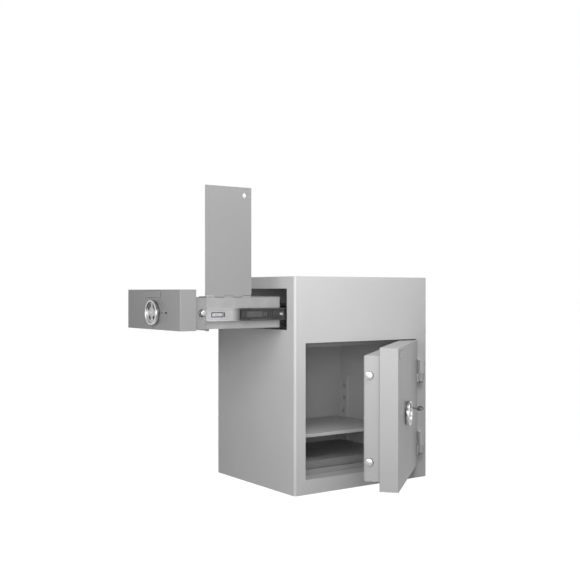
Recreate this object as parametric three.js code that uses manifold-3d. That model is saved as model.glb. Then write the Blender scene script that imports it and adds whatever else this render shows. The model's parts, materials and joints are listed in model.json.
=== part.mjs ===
// Drop safe with a deposit drawer, in millimetres, +Z up.
// The origin is the middle of the cabinet's underside, the door faces -Y and the drawer pulls out along -X.
// The drawer and the door are modelled shut, and their groups then open them as far as the photograph shows.
import * as THREE from 'three';
import { mergeVertices } from 'three/addons/utils/BufferGeometryUtils.js';
import Module from 'manifold-3d';

const wasm = await Module();
wasm.setup();

// General values
const seat = 0.3; // gap kept between two pieces that touch
const runGap = 0.6; // gap between two pieces that slide or turn past each other
const overrun = 2; // how far a cut runs past the face that it opens
const roundSides = 40; // sides of a round piece
const fineSides = 20; // sides of a thin pin

// Cabinet
const cabinetWidth = 505;
const cabinetDepth = 427;
const cabinetHeight = 620;
const cornerRadius = 7;
const wall = 38;
const floorThickness = 42;
const topThickness = 34.6;
const doorWallDepth = 52.6; // thickness of the front wall around the door
const drawerWallDepth = 38.8; // thickness of the front wall beside the drawer

// Door opening and the inner lip that the bolts catch
const freeStripWidth = 38; // cabinet front left of the door opening
const hingeStripWidth = 42.8; // cabinet front right of the door opening
const doorHeadRail = 29.3; // front wall between the door opening and the deck
const lipStep = 15.7;
const lipDepth = 17;
const lipWeldBand = 12;

// Drawer opening in the left side
const drawerFarWallDepth = 61.8; // back wall and side wall behind the drawer opening
const drawerOpeningHeight = 118.3;
const deckThickness = 7.7;

// Door
const doorOpenAngle = 40.3; // degrees, as photographed
const doorBackGap = 1.6; // the door is this much thinner than the wall around it
const doorFootGap = 1.6;
const doorHeadGap = 3.7;
const doorEdgeRadius = 2;
const doorSwingGap = 1.5; // least gap as the free edge swings past the opening

// Hinges: a block welded to the cabinet above a knuckle on the door
const hingeInset = 33; // hinge axis from the cabinet's right side
const hingeStandoff = 10; // hinge axis in front of the cabinet
const axisToDoorEdge = 12;
const hingeBlockWidth = 18;
const hingeBlockHeight = 41;
const hingeBlockRadius = 4;
const knuckleRadius = 9;
const knuckleHeight = 25;
const knuckleLeafReach = 34;
const knuckleLeafThickness = 5;
const lowerKnuckleRise = 34.4; // underside of the lower knuckle above the door's foot
const upperKnuckleDrop = 127.4; // underside of the upper knuckle below the door's head
const hingePinRadius = 4;
const hingePinDepth = 26; // how far the pin reaches into the block
const hingePinHeadRadius = 6.5;
const hingePinHeadHeight = 3;

// Bolt box behind the door panel
const boxInset = 22;
const boxWall = 3;
const boxCoverThickness = 3;
const boxCoverBevel = 2.2;

// Door bolts
const doorBoltRadius = 11;
const doorBoltLength = 60;
const lowerBoltInset = 51.4; // bolt axis above the bolt box's foot
const upperBoltInset = 53.4; // bolt axis below the bolt box's head
const doorBoltRestReach = 5; // bolt end beyond the box at rest
const doorBoltLipGap = 1.6; // between a bolt and the lip that it catches
const doorBoltRearRoom = 0.5;
const boltBarWidth = 6;
const boltBarThickness = 16;
const boltBarMargin = 24; // bolt bar beyond the outermost bolt axis
const linkArmThickness = 4;
const linkArmHeight = 20;
const dogReach = 14; // fixed dog beyond the box on the hinge side
const dogHeight = 24;
const dogThickness = 16;
const dogLipGap = 3;

// Strip above the bolt box
const headStripThickness = 1.2;
const headStripHeight = 13;
const headStripFromFreeEdge = 76;
const headStripFromHingeEdge = 81.2;

// Ring handles
const handleRadius = 35;
const handleRimWidth = 6;
const handleHubRadius = 15;
const handleSpokeWidth = 12;
const handleThickness = 9;
const handleBevel = 2;
const handleStandoff = 5; // ring's rear face in front of the panel
const handleNeckRadius = 12;
const spokeAngles = [60, 180, 300]; // degrees from the handle's right side
const spindleRadius = 6;
const camRadius = 25;
const camThickness = 5;
const doorHandleFromFreeEdge = 163; // handle centre from the door's free edge
const doorHandleDrop = 0.5; // handle centre below the middle of the bolt box

// Door lock
const doorLockFromHandle = 110;
const escutcheonRadius = 13;
const escutcheonThickness = 2.5;
const keyShankRadius = 2.6;
const keyholeRadius = keyShankRadius + seat;
const keyShankInside = 28;
const keyNeckLength = 10; // shank between the lock and the bow
const keyBowLength = 24;
const keyBowWidth = 20;
const keyBowThickness = 3;
const keyBowHoleRadius = 5;
const keyBowHoleInset = 8;
const keyTilt = 65; // degrees that the bow is turned at rest
const lockCaseWidth = 60;
const lockCaseHeight = 90;
const lockCaseDepth = 24;

// Blank plates
const doorPlateWidth = 65;
const doorPlateHeight = 18;
const doorPlateFromFreeEdge = 62;
const doorPlateFromTop = 19;
const drawerPlateWidth = 93;
const drawerPlateHeight = 19;
const drawerPlateFromTop = 12.2;
const plateThickness = 1.5;

// Drawer
const travelShortfall = 10; // slide's length beyond how far the photograph shows the drawer pulled out
const drawerFrontThickness = 49.2;
const drawerFrontFoot = 4.4; // front's underside above the opening's sill
const drawerFrontHeadGap = 3.1;
const drawerFrontNearGap = 3.2;
const drawerFrontFarGap = 3.2;
const drawerFrontEdge = 1.5;
const housingDepth = 34;
const housingWall = 3;
const trayLength = 240;
const trayWall = 2.5;
const trayFoot = 8; // tray floor above the opening's sill
const trayHeadGap = 25.4; // tray's rim below the opening's head
const dividerFromTrayFront = 146;

// Lid of the deposit compartment
const lidThickness = 3;
const lidOverhang = 0.5; // lid's free edge beyond the tray's far side
const lidHoleRadius = 6.5;
const lidHoleInset = 22;
const lidHingeRadius = 2.5;
const lidPinRadius = 1.2;
const lidLeafDepth = 19;
const lidLeafThickness = 1.5;
const lidKnuckles = 5;

// Drop flap in the tray's floor
const flapSideMargin = 10;
const flapFrontMargin = 5;
const flapRearMargin = 3;
const flapGap = 1;
const flapHingeRadius = 2.5;
const flapRodRadius = 1.3;
const flapAxisDrop = 2; // hinge axis below the tray's underside
const flapEarThickness = 3.5;
const flapEarWidth = 9;
const flapEarDrop = 6;
const dropHoleMargin = 7;

// Drawer lock and bolts
const drawerBoltRadius = 8;
const drawerBoltLength = 50;
const drawerBoltFromHousingBack = 9.2;
const drawerBoltRestReach = 8;
const drawerHandleRise = 47.5; // handle centre above the underside of the drawer's front
const drawerArmHeight = 10;
const drawerHandleOffset = 13.5; // handle centre nearer to the door than the drawer's middle
const drawerLockFromHandle = 67;
const boltPocketDepth = 15;

// Telescopic slides
const slideGap = 12.2; // room for a slide between the tray and the opening's edge
const slideSetback = 84; // slide's front end behind the cabinet's side, shut
const slideRearGap = 33; // slide's rear end in front of the far side wall
const drawerMemberSetback = 83;
const slideHeight = 35;
const slideWeb = 1.5;
const slideBottomAboveTray = 21;
const middleShare = 0.6; // share of the drawer's travel that the middle member makes
const slideStep = 2; // each member is this much lower than the one around it, above and below
const slideSlotLength = 34;
const slideSlotHeight = 9;
const slideSlotInset = 18;
const middleSlotLength = 52;
const middleSlotInset = 4;
const slideNotchLength = 2.5;
const slideNotchPitch = 7;
const bracketWall = 3;
const bracketMargin = 8;
const bracketSetback = 50;

// Storage space
const baffleDepth = 27;
const baffleThickness = 2;
const baffleTeeth = 12;
const baffleToothHeight = 9;
const shelfSetback = 108;
const shelfRearGap = 4;
const shelfSideGap = 20;
const shelfRise = 18.7; // shelf's top above the middle of the slots that its hooks are in
const shelfSheet = 2;
const shelfFlange = 10;
const floorPlateRise = 27;
const floorPlateSheet = 3;
const floorPlateSideGap = 2;
const frontRailSetback = 140; // rail's middle behind the cabinet's front
const rearRailInset = 37; // rail's middle in front of the back wall
const railWidth = 32;
const railDepth = 12;
const railSheet = 1.5;
const railLength = 220;
const railFoot = 3;
const railSlotInset = 34; // middle of the highest slot below the rail's top
const railSlotPitch = 42;
const railSlotHeight = 16;
const railSlotWidth = 14;
const railSlotMargin = 6; // least metal under the lowest slot
const hookSlot = 1; // slots below the one that holds the hook
const hookWidth = 11;
const hookSheet = 3;
const hookLedge = 17;
const hookTongue = 6;
const hookTongueHeight = 8;
const anchorHoleRadius = 7;
const anchorFromMiddle = 120;
const anchorFromBack = 110;
const anchorCapRadius = 11;
const anchorCapHeight = 3;

// Edges that several pieces share
const left = -cabinetWidth / 2;
const right = cabinetWidth / 2;
const front = -cabinetDepth / 2;
const back = cabinetDepth / 2;
const innerLeft = left + wall;
const innerRight = right - wall;
const innerBack = back - wall;
const openingLeft = left + freeStripWidth;
const openingRight = right - hingeStripWidth;
const doorWallInner = front + doorWallDepth;
const lipBack = doorWallInner + seat + lipDepth;
const drawerSide = front + drawerWallDepth;
const drawerOpeningLength = cabinetDepth - drawerWallDepth - drawerFarWallDepth;
const drawerOpeningTop = cabinetHeight - topThickness;
const drawerSill = drawerOpeningTop - drawerOpeningHeight;
const deckBottom = drawerSill - deckThickness;
const openingTop = deckBottom - doorHeadRail;

const hingeX = right - hingeInset;
const hingeY = front - hingeStandoff;
const doorRight = hingeX - axisToDoorEdge;
const doorThickness = doorWallDepth - doorBackGap;
const doorSwing = hingeX - openingLeft - doorSwingGap;
const doorLeft = hingeX - Math.sqrt(doorSwing ** 2 - (doorThickness + hingeStandoff) ** 2);
const doorBottom = floorThickness + doorFootGap;
const doorTop = openingTop - doorHeadGap;
const panelBack = front + doorThickness;
const boxLeft = doorLeft + boxInset;
const boxRight = doorRight - boxInset;
const boxBottom = doorBottom + boxInset;
const boxTop = doorTop - boxInset;
const boxFront = panelBack + seat;
const doorBoltY = lipBack + doorBoltLipGap + doorBoltRadius;
const doorBoltHeights = [boxBottom + lowerBoltInset, boxTop - upperBoltInset];
const boxBack = doorBoltY + doorBoltRadius + doorBoltRearRoom;
const hingeBaseHeights = [doorBottom + lowerKnuckleRise, doorTop - upperKnuckleDrop];
const doorHandleHeight = (boxBottom + boxTop) / 2 - doorHandleDrop;
const handleX = doorLeft + doorHandleFromFreeEdge;
const lockX = handleX + doorLockFromHandle;

const drawerMiddle = drawerSide + drawerOpeningLength / 2;
const trayHalfWidth = drawerOpeningLength / 2 - slideGap;
const trayBottom = drawerSill + trayFoot;
const trayTop = drawerOpeningTop - trayHeadGap;
const housingFront = left + drawerFrontThickness + seat;
const housingBack = housingFront + housingDepth;
const trayFront = housingBack + seat;
const trayBack = trayFront + trayLength;
const dividerX = trayFront + dividerFromTrayFront;
const drawerFrontBottom = drawerSill + drawerFrontFoot;
const drawerFrontTop = drawerOpeningTop - drawerFrontHeadGap;
const drawerFrontNear = drawerSide + drawerFrontNearGap;
const drawerFrontFar = drawerSide + drawerOpeningLength - drawerFrontFarGap;
const drawerHandleHeight = drawerFrontBottom + drawerHandleRise;
const drawerBoltX = housingBack - drawerBoltFromHousingBack;
const drawerHandleY = drawerMiddle - drawerHandleOffset;
const drawerLockY = drawerHandleY - drawerLockFromHandle;

const flapFront = trayFront + flapFrontMargin;
const flapBack = dividerX - flapRearMargin;
const flapNear = drawerMiddle - trayHalfWidth + flapSideMargin;
const flapFar = drawerMiddle + trayHalfWidth - flapSideMargin;
const flapAxisX = flapFront + flapGap + flapHingeRadius;
const flapAxisZ = trayBottom - flapAxisDrop;

const lidAxisY = drawerMiddle - trayHalfWidth + trayWall + seat + lidHingeRadius;
const lidAxisZ = trayTop + seat + lidHingeRadius;

const slideLength = cabinetWidth - wall - slideSetback - slideRearGap;
const drawerTravel = slideLength - travelShortfall;

const floorPlateTop = floorThickness + floorPlateRise;
const railBottom = floorPlateTop + railFoot;
const railTop = railBottom + railLength;
const railSlotTop = railTop - railSlotInset;
const railSlotRoom = railLength - railSlotInset - railSlotHeight / 2 - railSlotMargin;
const railSlotCount = Math.floor(railSlotRoom / railSlotPitch) + 1;
const hookSlotHeight = railSlotTop - (railSlotCount - 1 - hookSlot) * railSlotPitch;
const shelfTop = hookSlotHeight + shelfRise;
const railPlaces = [front + frontRailSetback, innerBack - rearRailInset];

// Materials, coloured as the photograph shows them
function paint(colour, roughness = 0.55) {
  return new THREE.MeshStandardMaterial({ color: colour, roughness, metalness: 0.1 });
}
function metal(colour, roughness = 0.3) {
  return new THREE.MeshStandardMaterial({ color: colour, roughness, metalness: 1 });
}
const cabinetPaint = paint('#b9b9b9');
const doorPaint = paint('#a9a9a9');
const innerPaint = paint('#9a9a9a', 0.6);
const chrome = metal('#d8dadc', 0.12);
const zinc = metal('#b4b6b8', 0.38);
const darkSteel = metal('#55575a', 0.45);
const castHandle = metal('#c4c2c2', 0.28);
const plateGrey = paint('#c9cacb', 0.4);

// Shapes
function solid(geometry) {
  const plain = geometry.clone();
  plain.deleteAttribute('normal');
  plain.deleteAttribute('uv');
  const merged = mergeVertices(plain);
  return new wasm.Manifold(new wasm.Mesh({
    numProp: 3,
    vertProperties: new Float32Array(merged.attributes.position.array),
    triVerts: new Uint32Array(merged.index.array),
  }));
}

// Box between two corners, given in either order along each axis
function slab(x0, x1, y0, y1, z0, z1) {
  const geometry = new THREE.BoxGeometry(Math.abs(x1 - x0), Math.abs(y1 - y0), Math.abs(z1 - z0));
  geometry.translate((x0 + x1) / 2, (y0 + y1) / 2, (z0 + z1) / 2);
  return solid(geometry);
}

function rodAlongZ(radius, x, y, z0, z1, sides = roundSides) {
  const geometry = new THREE.CylinderGeometry(radius, radius, Math.abs(z1 - z0), sides);
  geometry.rotateX(Math.PI / 2);
  geometry.translate(x, y, (z0 + z1) / 2);
  return solid(geometry);
}

function rodAlongY(radius, x, y0, y1, z, sides = roundSides) {
  const geometry = new THREE.CylinderGeometry(radius, radius, Math.abs(y1 - y0), sides);
  geometry.translate(x, (y0 + y1) / 2, z);
  return solid(geometry);
}

function rodAlongX(radius, x0, x1, y, z, sides = roundSides) {
  const geometry = new THREE.CylinderGeometry(radius, radius, Math.abs(x1 - x0), sides);
  geometry.rotateZ(Math.PI / 2);
  geometry.translate((x0 + x1) / 2, y, z);
  return solid(geometry);
}

function roundedRectangle(x0, x1, y0, y1, radius) {
  const shape = new THREE.Shape();
  shape.absarc(x1 - radius, y1 - radius, radius, 0, Math.PI / 2);
  shape.absarc(x0 + radius, y1 - radius, radius, Math.PI / 2, Math.PI);
  shape.absarc(x0 + radius, y0 + radius, radius, Math.PI, 1.5 * Math.PI);
  shape.absarc(x1 - radius, y0 + radius, radius, 1.5 * Math.PI, 2 * Math.PI);
  return shape;
}

// Outline in the X and Y plane, raised from z0 to z1
function prism(shape, z0, z1, curveSegments = 6) {
  const geometry = new THREE.ExtrudeGeometry(shape, { depth: z1 - z0, bevelEnabled: false, curveSegments });
  geometry.translate(0, 0, z0);
  return solid(geometry);
}

// Outline in the Y and Z plane, run from x0 to x1
function prismAlongX(shape, x0, x1) {
  const geometry = new THREE.ExtrudeGeometry(shape, { depth: x1 - x0, bevelEnabled: false });
  const axes = new THREE.Matrix4().makeBasis(
    new THREE.Vector3(0, 1, 0),
    new THREE.Vector3(0, 0, 1),
    new THREE.Vector3(1, 0, 0),
  );
  geometry.applyMatrix4(axes);
  geometry.translate(x0, 0, 0);
  return solid(geometry);
}

function join(...solids) {
  return solids.reduce((whole, piece) => whole.add(piece));
}

function cut(whole, ...tools) {
  return tools.reduce((rest, tool) => rest.subtract(tool), whole);
}

function meshOf(name, body, material) {
  const { vertProperties, triVerts, numProp } = body.getMesh();
  const positions = new Float32Array((vertProperties.length / numProp) * 3);
  for (let vertex = 0; vertex < positions.length / 3; vertex += 1) {
    for (let axis = 0; axis < 3; axis += 1) {
      positions[3 * vertex + axis] = vertProperties[numProp * vertex + axis];
    }
  }
  const geometry = new THREE.BufferGeometry();
  geometry.setAttribute('position', new THREE.BufferAttribute(positions, 3));
  geometry.setIndex(new THREE.BufferAttribute(new Uint32Array(triVerts), 1));
  geometry.computeVertexNormals();
  const mesh = new THREE.Mesh(geometry, material);
  mesh.name = name;
  return mesh;
}

// Groups: the cabinet stands still, and the others are placed as photographed
const safe = new THREE.Group();
const cabinet = new THREE.Group();
const door = new THREE.Group();
const doorParts = new THREE.Group();
const drawer = new THREE.Group();
const slideMiddles = new THREE.Group();
safe.add(cabinet, door, drawer, slideMiddles);
door.position.set(hingeX, hingeY, 0);
door.rotation.z = THREE.MathUtils.degToRad(doorOpenAngle);
door.add(doorParts);
doorParts.position.set(-hingeX, -hingeY, 0);
drawer.position.x = -drawerTravel;
slideMiddles.position.x = -drawerTravel * middleShare;

// Faces that a mesh built along its own +Z can be turned to
function faceFront(mesh, x, y, z) {
  mesh.rotation.x = Math.PI / 2;
  mesh.position.set(x, y, z);
  return mesh;
}
function faceLeft(mesh, x, y, z) {
  const axes = new THREE.Matrix4().makeBasis(
    new THREE.Vector3(0, -1, 0),
    new THREE.Vector3(0, 0, 1),
    new THREE.Vector3(-1, 0, 0),
  );
  mesh.setRotationFromMatrix(axes);
  mesh.position.set(x, y, z);
  return mesh;
}

// Cabinet body
function cabinetShell() {
  const outside = roundedRectangle(left, right, front, back, cornerRadius);
  const block = prism(outside, 0, cabinetHeight);
  const storage = slab(innerLeft, innerRight, doorWallInner, innerBack, floorThickness, drawerOpeningTop);
  const drawerSpace = slab(innerLeft, innerRight, drawerSide, innerBack, deckBottom, drawerOpeningTop);
  const doorOpening = slab(
    openingLeft, openingRight, front - overrun, doorWallInner, floorThickness, openingTop,
  );
  const drawerOpening = slab(
    left - overrun, innerLeft + overrun,
    drawerSide, drawerSide + drawerOpeningLength,
    drawerSill, drawerOpeningTop,
  );
  const boltPocket = rodAlongY(
    drawerBoltRadius + runGap, drawerBoltX, drawerSide - boltPocketDepth, drawerSide + overrun,
    drawerHandleHeight,
  );
  const anchorHoles = [-1, 1].map((side) => rodAlongZ(
    anchorHoleRadius, side * anchorFromMiddle, back - anchorFromBack, -overrun, floorThickness + overrun,
  ));
  return cut(block, storage, drawerSpace, doorOpening, drawerOpening, boltPocket, ...anchorHoles);
}

function doorFrameLip() {
  const y0 = doorWallInner + seat;
  const outside = slab(
    innerLeft + seat, innerRight - seat, y0, lipBack, floorThickness + seat, openingTop + lipWeldBand,
  );
  const inside = slab(
    openingLeft + lipStep, openingRight - lipStep, y0 - overrun, lipBack + overrun,
    floorThickness + lipStep, openingTop - lipStep,
  );
  return cut(outside, inside);
}

function compartmentDeck() {
  const plate = slab(
    innerLeft + seat, innerRight - seat, drawerSide + seat, innerBack - seat, deckBottom + seat, drawerSill,
  );
  const dropHole = slab(
    flapFront - dropHoleMargin, flapBack + dropHoleMargin,
    flapNear - dropHoleMargin, flapFar + dropHoleMargin,
    deckBottom - overrun, drawerSill + overrun,
  );
  return cut(plate, dropHole);
}

// Comb of teeth that hangs behind the drop hole
function antiFishingBaffle() {
  const shape = new THREE.Shape();
  const top = deckBottom;
  const bottom = deckBottom - baffleDepth;
  const near = lipBack + lipWeldBand;
  const pitch = (flapFar - near) / baffleTeeth;
  shape.moveTo(near, top);
  for (let tooth = 0; tooth < baffleTeeth; tooth += 1) {
    const start = near + tooth * pitch;
    shape.lineTo(start, bottom + baffleToothHeight);
    shape.lineTo(start + pitch / 2, bottom);
  }
  shape.lineTo(flapFar, bottom + baffleToothHeight);
  shape.lineTo(flapFar, top);
  const x0 = flapBack + dropHoleMargin + seat;
  return prismAlongX(shape, x0, x0 + baffleThickness);
}

function bentSheet(x0, x1, y0, y1, top, sheet, frontFlange, rearFlange) {
  return join(
    slab(x0, x1, y0, y1, top - sheet, top),
    slab(x0, x1, y0, y0 + sheet, top - frontFlange, top),
    slab(x0, x1, y1 - sheet, y1, top - rearFlange, top),
  );
}

function floorPlate() {
  const flange = floorPlateRise - seat;
  return bentSheet(
    innerLeft + floorPlateSideGap, innerRight - floorPlateSideGap,
    front + shelfSetback, innerBack - shelfRearGap,
    floorPlateTop, floorPlateSheet, flange, flange,
  );
}

function shelf() {
  return bentSheet(
    innerLeft + shelfSideGap, innerRight - shelfSideGap, front + shelfSetback, innerBack - shelfRearGap,
    shelfTop, shelfSheet, shelfFlange, shelfFlange,
  );
}

// Slotted channel on a side wall; side is -1 on the left and 1 on the right
function shelfRail(side, y) {
  const wallFace = side * (innerRight - seat);
  const inner = wallFace - side * railDepth;
  const block = slab(wallFace, inner, y - railWidth / 2, y + railWidth / 2, railBottom, railTop);
  const channel = slab(
    wallFace + side * overrun, inner + side * railSheet,
    y - railWidth / 2 + railSheet, y + railWidth / 2 - railSheet, railBottom - overrun, railTop + overrun,
  );
  const slots = Array.from({ length: railSlotCount }, (unused, row) => {
    const z = railSlotTop - row * railSlotPitch;
    return slab(
      inner - side * overrun, inner + side * (railSheet + overrun),
      y - railSlotWidth / 2, y + railSlotWidth / 2, z - railSlotHeight / 2, z + railSlotHeight / 2,
    );
  });
  return cut(block, channel, ...slots);
}

function shelfHook(side, y) {
  const railFace = side * (innerRight - seat - railDepth);
  const outer = railFace - side * seat;
  const top = shelfTop - shelfSheet - seat;
  const tongueTop = hookSlotHeight + hookTongueHeight / 2;
  const ledge = slab(
    outer, outer - side * hookLedge, y - hookWidth / 2, y + hookWidth / 2, top - hookSheet, top,
  );
  const leg = slab(
    outer, outer - side * hookSheet, y - hookWidth / 2, y + hookWidth / 2, tongueTop - hookTongueHeight, top,
  );
  const tongue = slab(
    outer - side * hookSheet, railFace + side * hookTongue, y - hookWidth / 2, y + hookWidth / 2,
    tongueTop - hookTongueHeight, tongueTop,
  );
  return join(ledge, leg, tongue);
}

function hingeBlock(base) {
  const bottom = base + knuckleHeight + seat;
  const outline = roundedRectangle(
    hingeX - hingeBlockWidth / 2, hingeX + hingeBlockWidth / 2, hingeY - hingeBlockWidth / 2, front - seat,
    hingeBlockRadius,
  );
  const block = prism(outline, bottom, bottom + hingeBlockHeight);
  const bore = rodAlongZ(
    hingePinRadius + seat, hingeX, hingeY, bottom - overrun, bottom + hingePinDepth + seat, fineSides,
  );
  return cut(block, bore);
}

function hingePin(base) {
  const headTop = base - seat;
  const bottom = headTop - hingePinHeadHeight;
  const top = base + knuckleHeight + hingePinDepth;
  return join(
    rodAlongZ(hingePinRadius, hingeX, hingeY, bottom, top, fineSides),
    rodAlongZ(hingePinHeadRadius, hingeX, hingeY, bottom, headTop),
  );
}

function anchorPlug(side) {
  const x = side * anchorFromMiddle;
  const y = back - anchorFromBack;
  return join(
    rodAlongZ(anchorHoleRadius - seat, x, y, seat, floorThickness + seat + anchorCapHeight),
    rodAlongZ(anchorCapRadius, x, y, floorThickness + seat, floorThickness + seat + anchorCapHeight),
  );
}

// Channel that carries the far slide and keeps the far drawer bolt
function slideBracket() {
  const y0 = drawerSide + drawerOpeningLength + seat;
  const y1 = innerBack - seat;
  const z0 = trayBottom + slideBottomAboveTray - bracketMargin;
  const z1 = z0 + slideHeight + 2 * bracketMargin;
  const block = slab(left + bracketSetback, left + slideSetback + slideLength, y0, y1, z0, z1);
  const hollow = slab(
    left + bracketSetback - overrun, left + slideSetback + slideLength + overrun,
    y0 + bracketWall, y1 + overrun, z0 + bracketWall, z1 - bracketWall,
  );
  const boltHole = rodAlongY(
    drawerBoltRadius + runGap, drawerBoltX, y0 - overrun, y0 + bracketWall + overrun, drawerHandleHeight,
  );
  return cut(block, hollow, boltHole);
}

// Telescopic slide, with its widest channel on the tray. Offsets run from the tray to the cabinet's side.
// side is -1 near the door and 1 at the back.
const slideBottom = trayBottom + slideBottomAboveTray;
const slideTop = slideBottom + slideHeight;
function slideY(side, offset) {
  return drawerMiddle + side * (trayHalfWidth + offset);
}
function slideChannel(side, x0, x1, webStart, webEnd, flangeEnd, inset) {
  const z0 = slideBottom + inset;
  const z1 = slideTop - inset;
  const flangeStart = Math.min(webStart, webEnd) < flangeEnd ? webStart : webEnd;
  return join(
    slab(x0, x1, slideY(side, webStart), slideY(side, webEnd), z0, z1),
    slab(x0, x1, slideY(side, flangeStart), slideY(side, flangeEnd), z0, z0 + slideWeb),
    slab(x0, x1, slideY(side, flangeStart), slideY(side, flangeEnd), z1 - slideWeb, z1),
  );
}
function slideSlot(side, x0, length, height) {
  const middle = (slideBottom + slideTop) / 2;
  return slab(
    x0, x0 + length, slideY(side, -overrun), slideY(side, slideGap + overrun),
    middle - height / 2, middle + height / 2,
  );
}

function slideDrawerMember(side) {
  const x0 = left + drawerMemberSetback;
  const channel = slideChannel(
    side, x0, x0 + slideLength, seat, seat + slideWeb, slideGap - slideWeb - 2 * runGap, 0,
  );
  return cut(channel, slideSlot(side, x0 + slideSlotInset, slideSlotLength, slideSlotHeight));
}

function slideMiddleMember(side) {
  const x0 = left + slideSetback;
  const webStart = seat + slideWeb + runGap;
  const channel = slideChannel(
    side, x0, x0 + slideLength, webStart, webStart + slideWeb, slideGap - slideWeb - 2 * runGap, slideStep,
  );
  const slotEnd = x0 + middleSlotInset + middleSlotLength;
  const slot = slideSlot(side, x0 + middleSlotInset, middleSlotLength, slideSlotHeight);
  const notches = [1, 2].map((place) => slideSlot(
    side, slotEnd + place * slideNotchPitch, slideNotchLength, slideSlotHeight,
  ));
  return cut(channel, slot, ...notches);
}

function slideBodyMember(side) {
  const x0 = left + slideSetback;
  const webEnd = slideGap - seat;
  const flangeEnd = seat + 2 * slideWeb + 2 * runGap;
  return slideChannel(
    side, x0, x0 + slideLength, webEnd, webEnd - slideWeb, flangeEnd + slideWeb, 2 * slideStep,
  );
}

// Ring handle, with three windows between its spokes, built along +Z from the panel's face
function ringHandle() {
  const ring = new THREE.Shape();
  ring.absarc(0, 0, handleRadius - handleBevel, 0, 2 * Math.PI);
  const rimInner = handleRadius - handleRimWidth + handleBevel;
  const hubOuter = handleHubRadius - handleBevel;
  const step = THREE.MathUtils.degToRad(spokeAngles[1] - spokeAngles[0]);
  for (const angle of spokeAngles) {
    const from = THREE.MathUtils.degToRad(angle);
    const outer = (handleSpokeWidth / 2 - handleBevel) / rimInner;
    const inner = (handleSpokeWidth / 2 - handleBevel) / hubOuter;
    const window = new THREE.Path();
    window.absarc(0, 0, rimInner, from + outer, from + step - outer);
    window.absarc(0, 0, hubOuter, from + step - inner, from + inner, true);
    ring.holes.push(window);
  }
  const face = new THREE.ExtrudeGeometry(ring, {
    depth: handleThickness,
    bevelEnabled: true,
    bevelSize: handleBevel,
    bevelThickness: handleBevel,
    bevelSegments: 2,
    curveSegments: 12,
  });
  face.translate(0, 0, handleStandoff + handleBevel);
  return join(solid(face), rodAlongZ(handleNeckRadius, 0, 0, 2 * seat, handleStandoff + 2 * handleBevel));
}

function spindle(panelThickness, camStart) {
  return join(
    rodAlongZ(spindleRadius, 0, 0, seat, -panelThickness - camStart - camThickness),
    rodAlongZ(camRadius, 0, 0, -panelThickness - camStart, -panelThickness - camStart - camThickness),
  );
}

// Door
function doorPanel() {
  const outline = roundedRectangle(doorLeft, doorRight, front, panelBack, doorEdgeRadius);
  const panel = prism(outline, doorBottom, doorTop);
  const spindleHole = rodAlongY(
    spindleRadius + seat, handleX, front - overrun, panelBack + overrun, doorHandleHeight,
  );
  const keyhole = rodAlongY(keyholeRadius, lockX, front - overrun, panelBack + overrun, doorHandleHeight);
  return cut(panel, spindleHole, keyhole);
}

function boltworkFrame() {
  const block = slab(boxLeft, boxRight, boxFront, boxBack, boxBottom, boxTop);
  const hollow = slab(
    boxLeft + boxWall, boxRight - boxWall, boxFront - overrun, boxBack + overrun,
    boxBottom + boxWall, boxTop - boxWall,
  );
  const boltHoles = doorBoltHeights.map((z) => rodAlongX(
    doorBoltRadius + runGap, boxLeft - overrun, boxLeft + boxWall + overrun, doorBoltY, z,
  ));
  return cut(block, hollow, ...boltHoles);
}

function boltworkCover() {
  const y0 = boxBack + seat;
  const outline = roundedRectangle(
    boxLeft + boxCoverBevel, boxRight - boxCoverBevel, boxBottom + boxCoverBevel, boxTop - boxCoverBevel,
    boxCoverBevel,
  );
  const geometry = new THREE.ExtrudeGeometry(outline, {
    depth: boxCoverThickness,
    bevelEnabled: true,
    bevelSize: boxCoverBevel,
    bevelThickness: boxCoverBevel,
    bevelSegments: 1,
    curveSegments: 3,
  });
  geometry.rotateX(Math.PI / 2);
  geometry.translate(0, y0 + boxCoverThickness - boxCoverBevel, 0);
  const spare = slab(
    boxLeft - overrun, boxRight + overrun, y0 - boxCoverThickness - 2 * boxCoverBevel, y0,
    boxBottom - overrun, boxTop + overrun,
  );
  return cut(solid(geometry), spare);
}

function doorKnuckle(base) {
  const barrel = rodAlongZ(knuckleRadius, hingeX, hingeY, base, base + knuckleHeight);
  const leaf = slab(
    hingeX - knuckleLeafReach, hingeX, front - seat - knuckleLeafThickness, front - seat,
    base, base + knuckleHeight,
  );
  const bore = rodAlongZ(
    hingePinRadius + seat, hingeX, hingeY, base - overrun, base + knuckleHeight + overrun, fineSides,
  );
  return cut(join(barrel, leaf), bore);
}

function doorPlate() {
  const x = doorLeft + doorPlateFromFreeEdge;
  const z = doorTop - doorPlateFromTop;
  return slab(
    x - doorPlateWidth / 2, x + doorPlateWidth / 2, front - seat - plateThickness, front - seat,
    z - doorPlateHeight / 2, z + doorPlateHeight / 2,
  );
}

function escutcheon() {
  const disc = rodAlongZ(escutcheonRadius, 0, 0, seat, seat + escutcheonThickness);
  return cut(disc, rodAlongZ(keyholeRadius, 0, 0, -overrun, seat + escutcheonThickness + overrun, fineSides));
}

function doorLockCase() {
  const y0 = panelBack + seat;
  return slab(
    lockX - lockCaseWidth / 2, lockX + lockCaseWidth / 2, y0, y0 + lockCaseDepth,
    doorHandleHeight - lockCaseHeight / 2, doorHandleHeight + lockCaseHeight / 2,
  );
}

function doorHeadStrip() {
  return slab(
    doorLeft + headStripFromFreeEdge, doorRight - headStripFromHingeEdge,
    panelBack + seat, panelBack + seat + headStripThickness,
    boxTop + seat, boxTop + seat + headStripHeight,
  );
}

function hingeSideDog(z) {
  return slab(
    boxRight + seat, boxRight + dogReach, lipBack + dogLipGap, lipBack + dogLipGap + dogThickness,
    z - dogHeight / 2, z + dogHeight / 2,
  );
}

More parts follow.
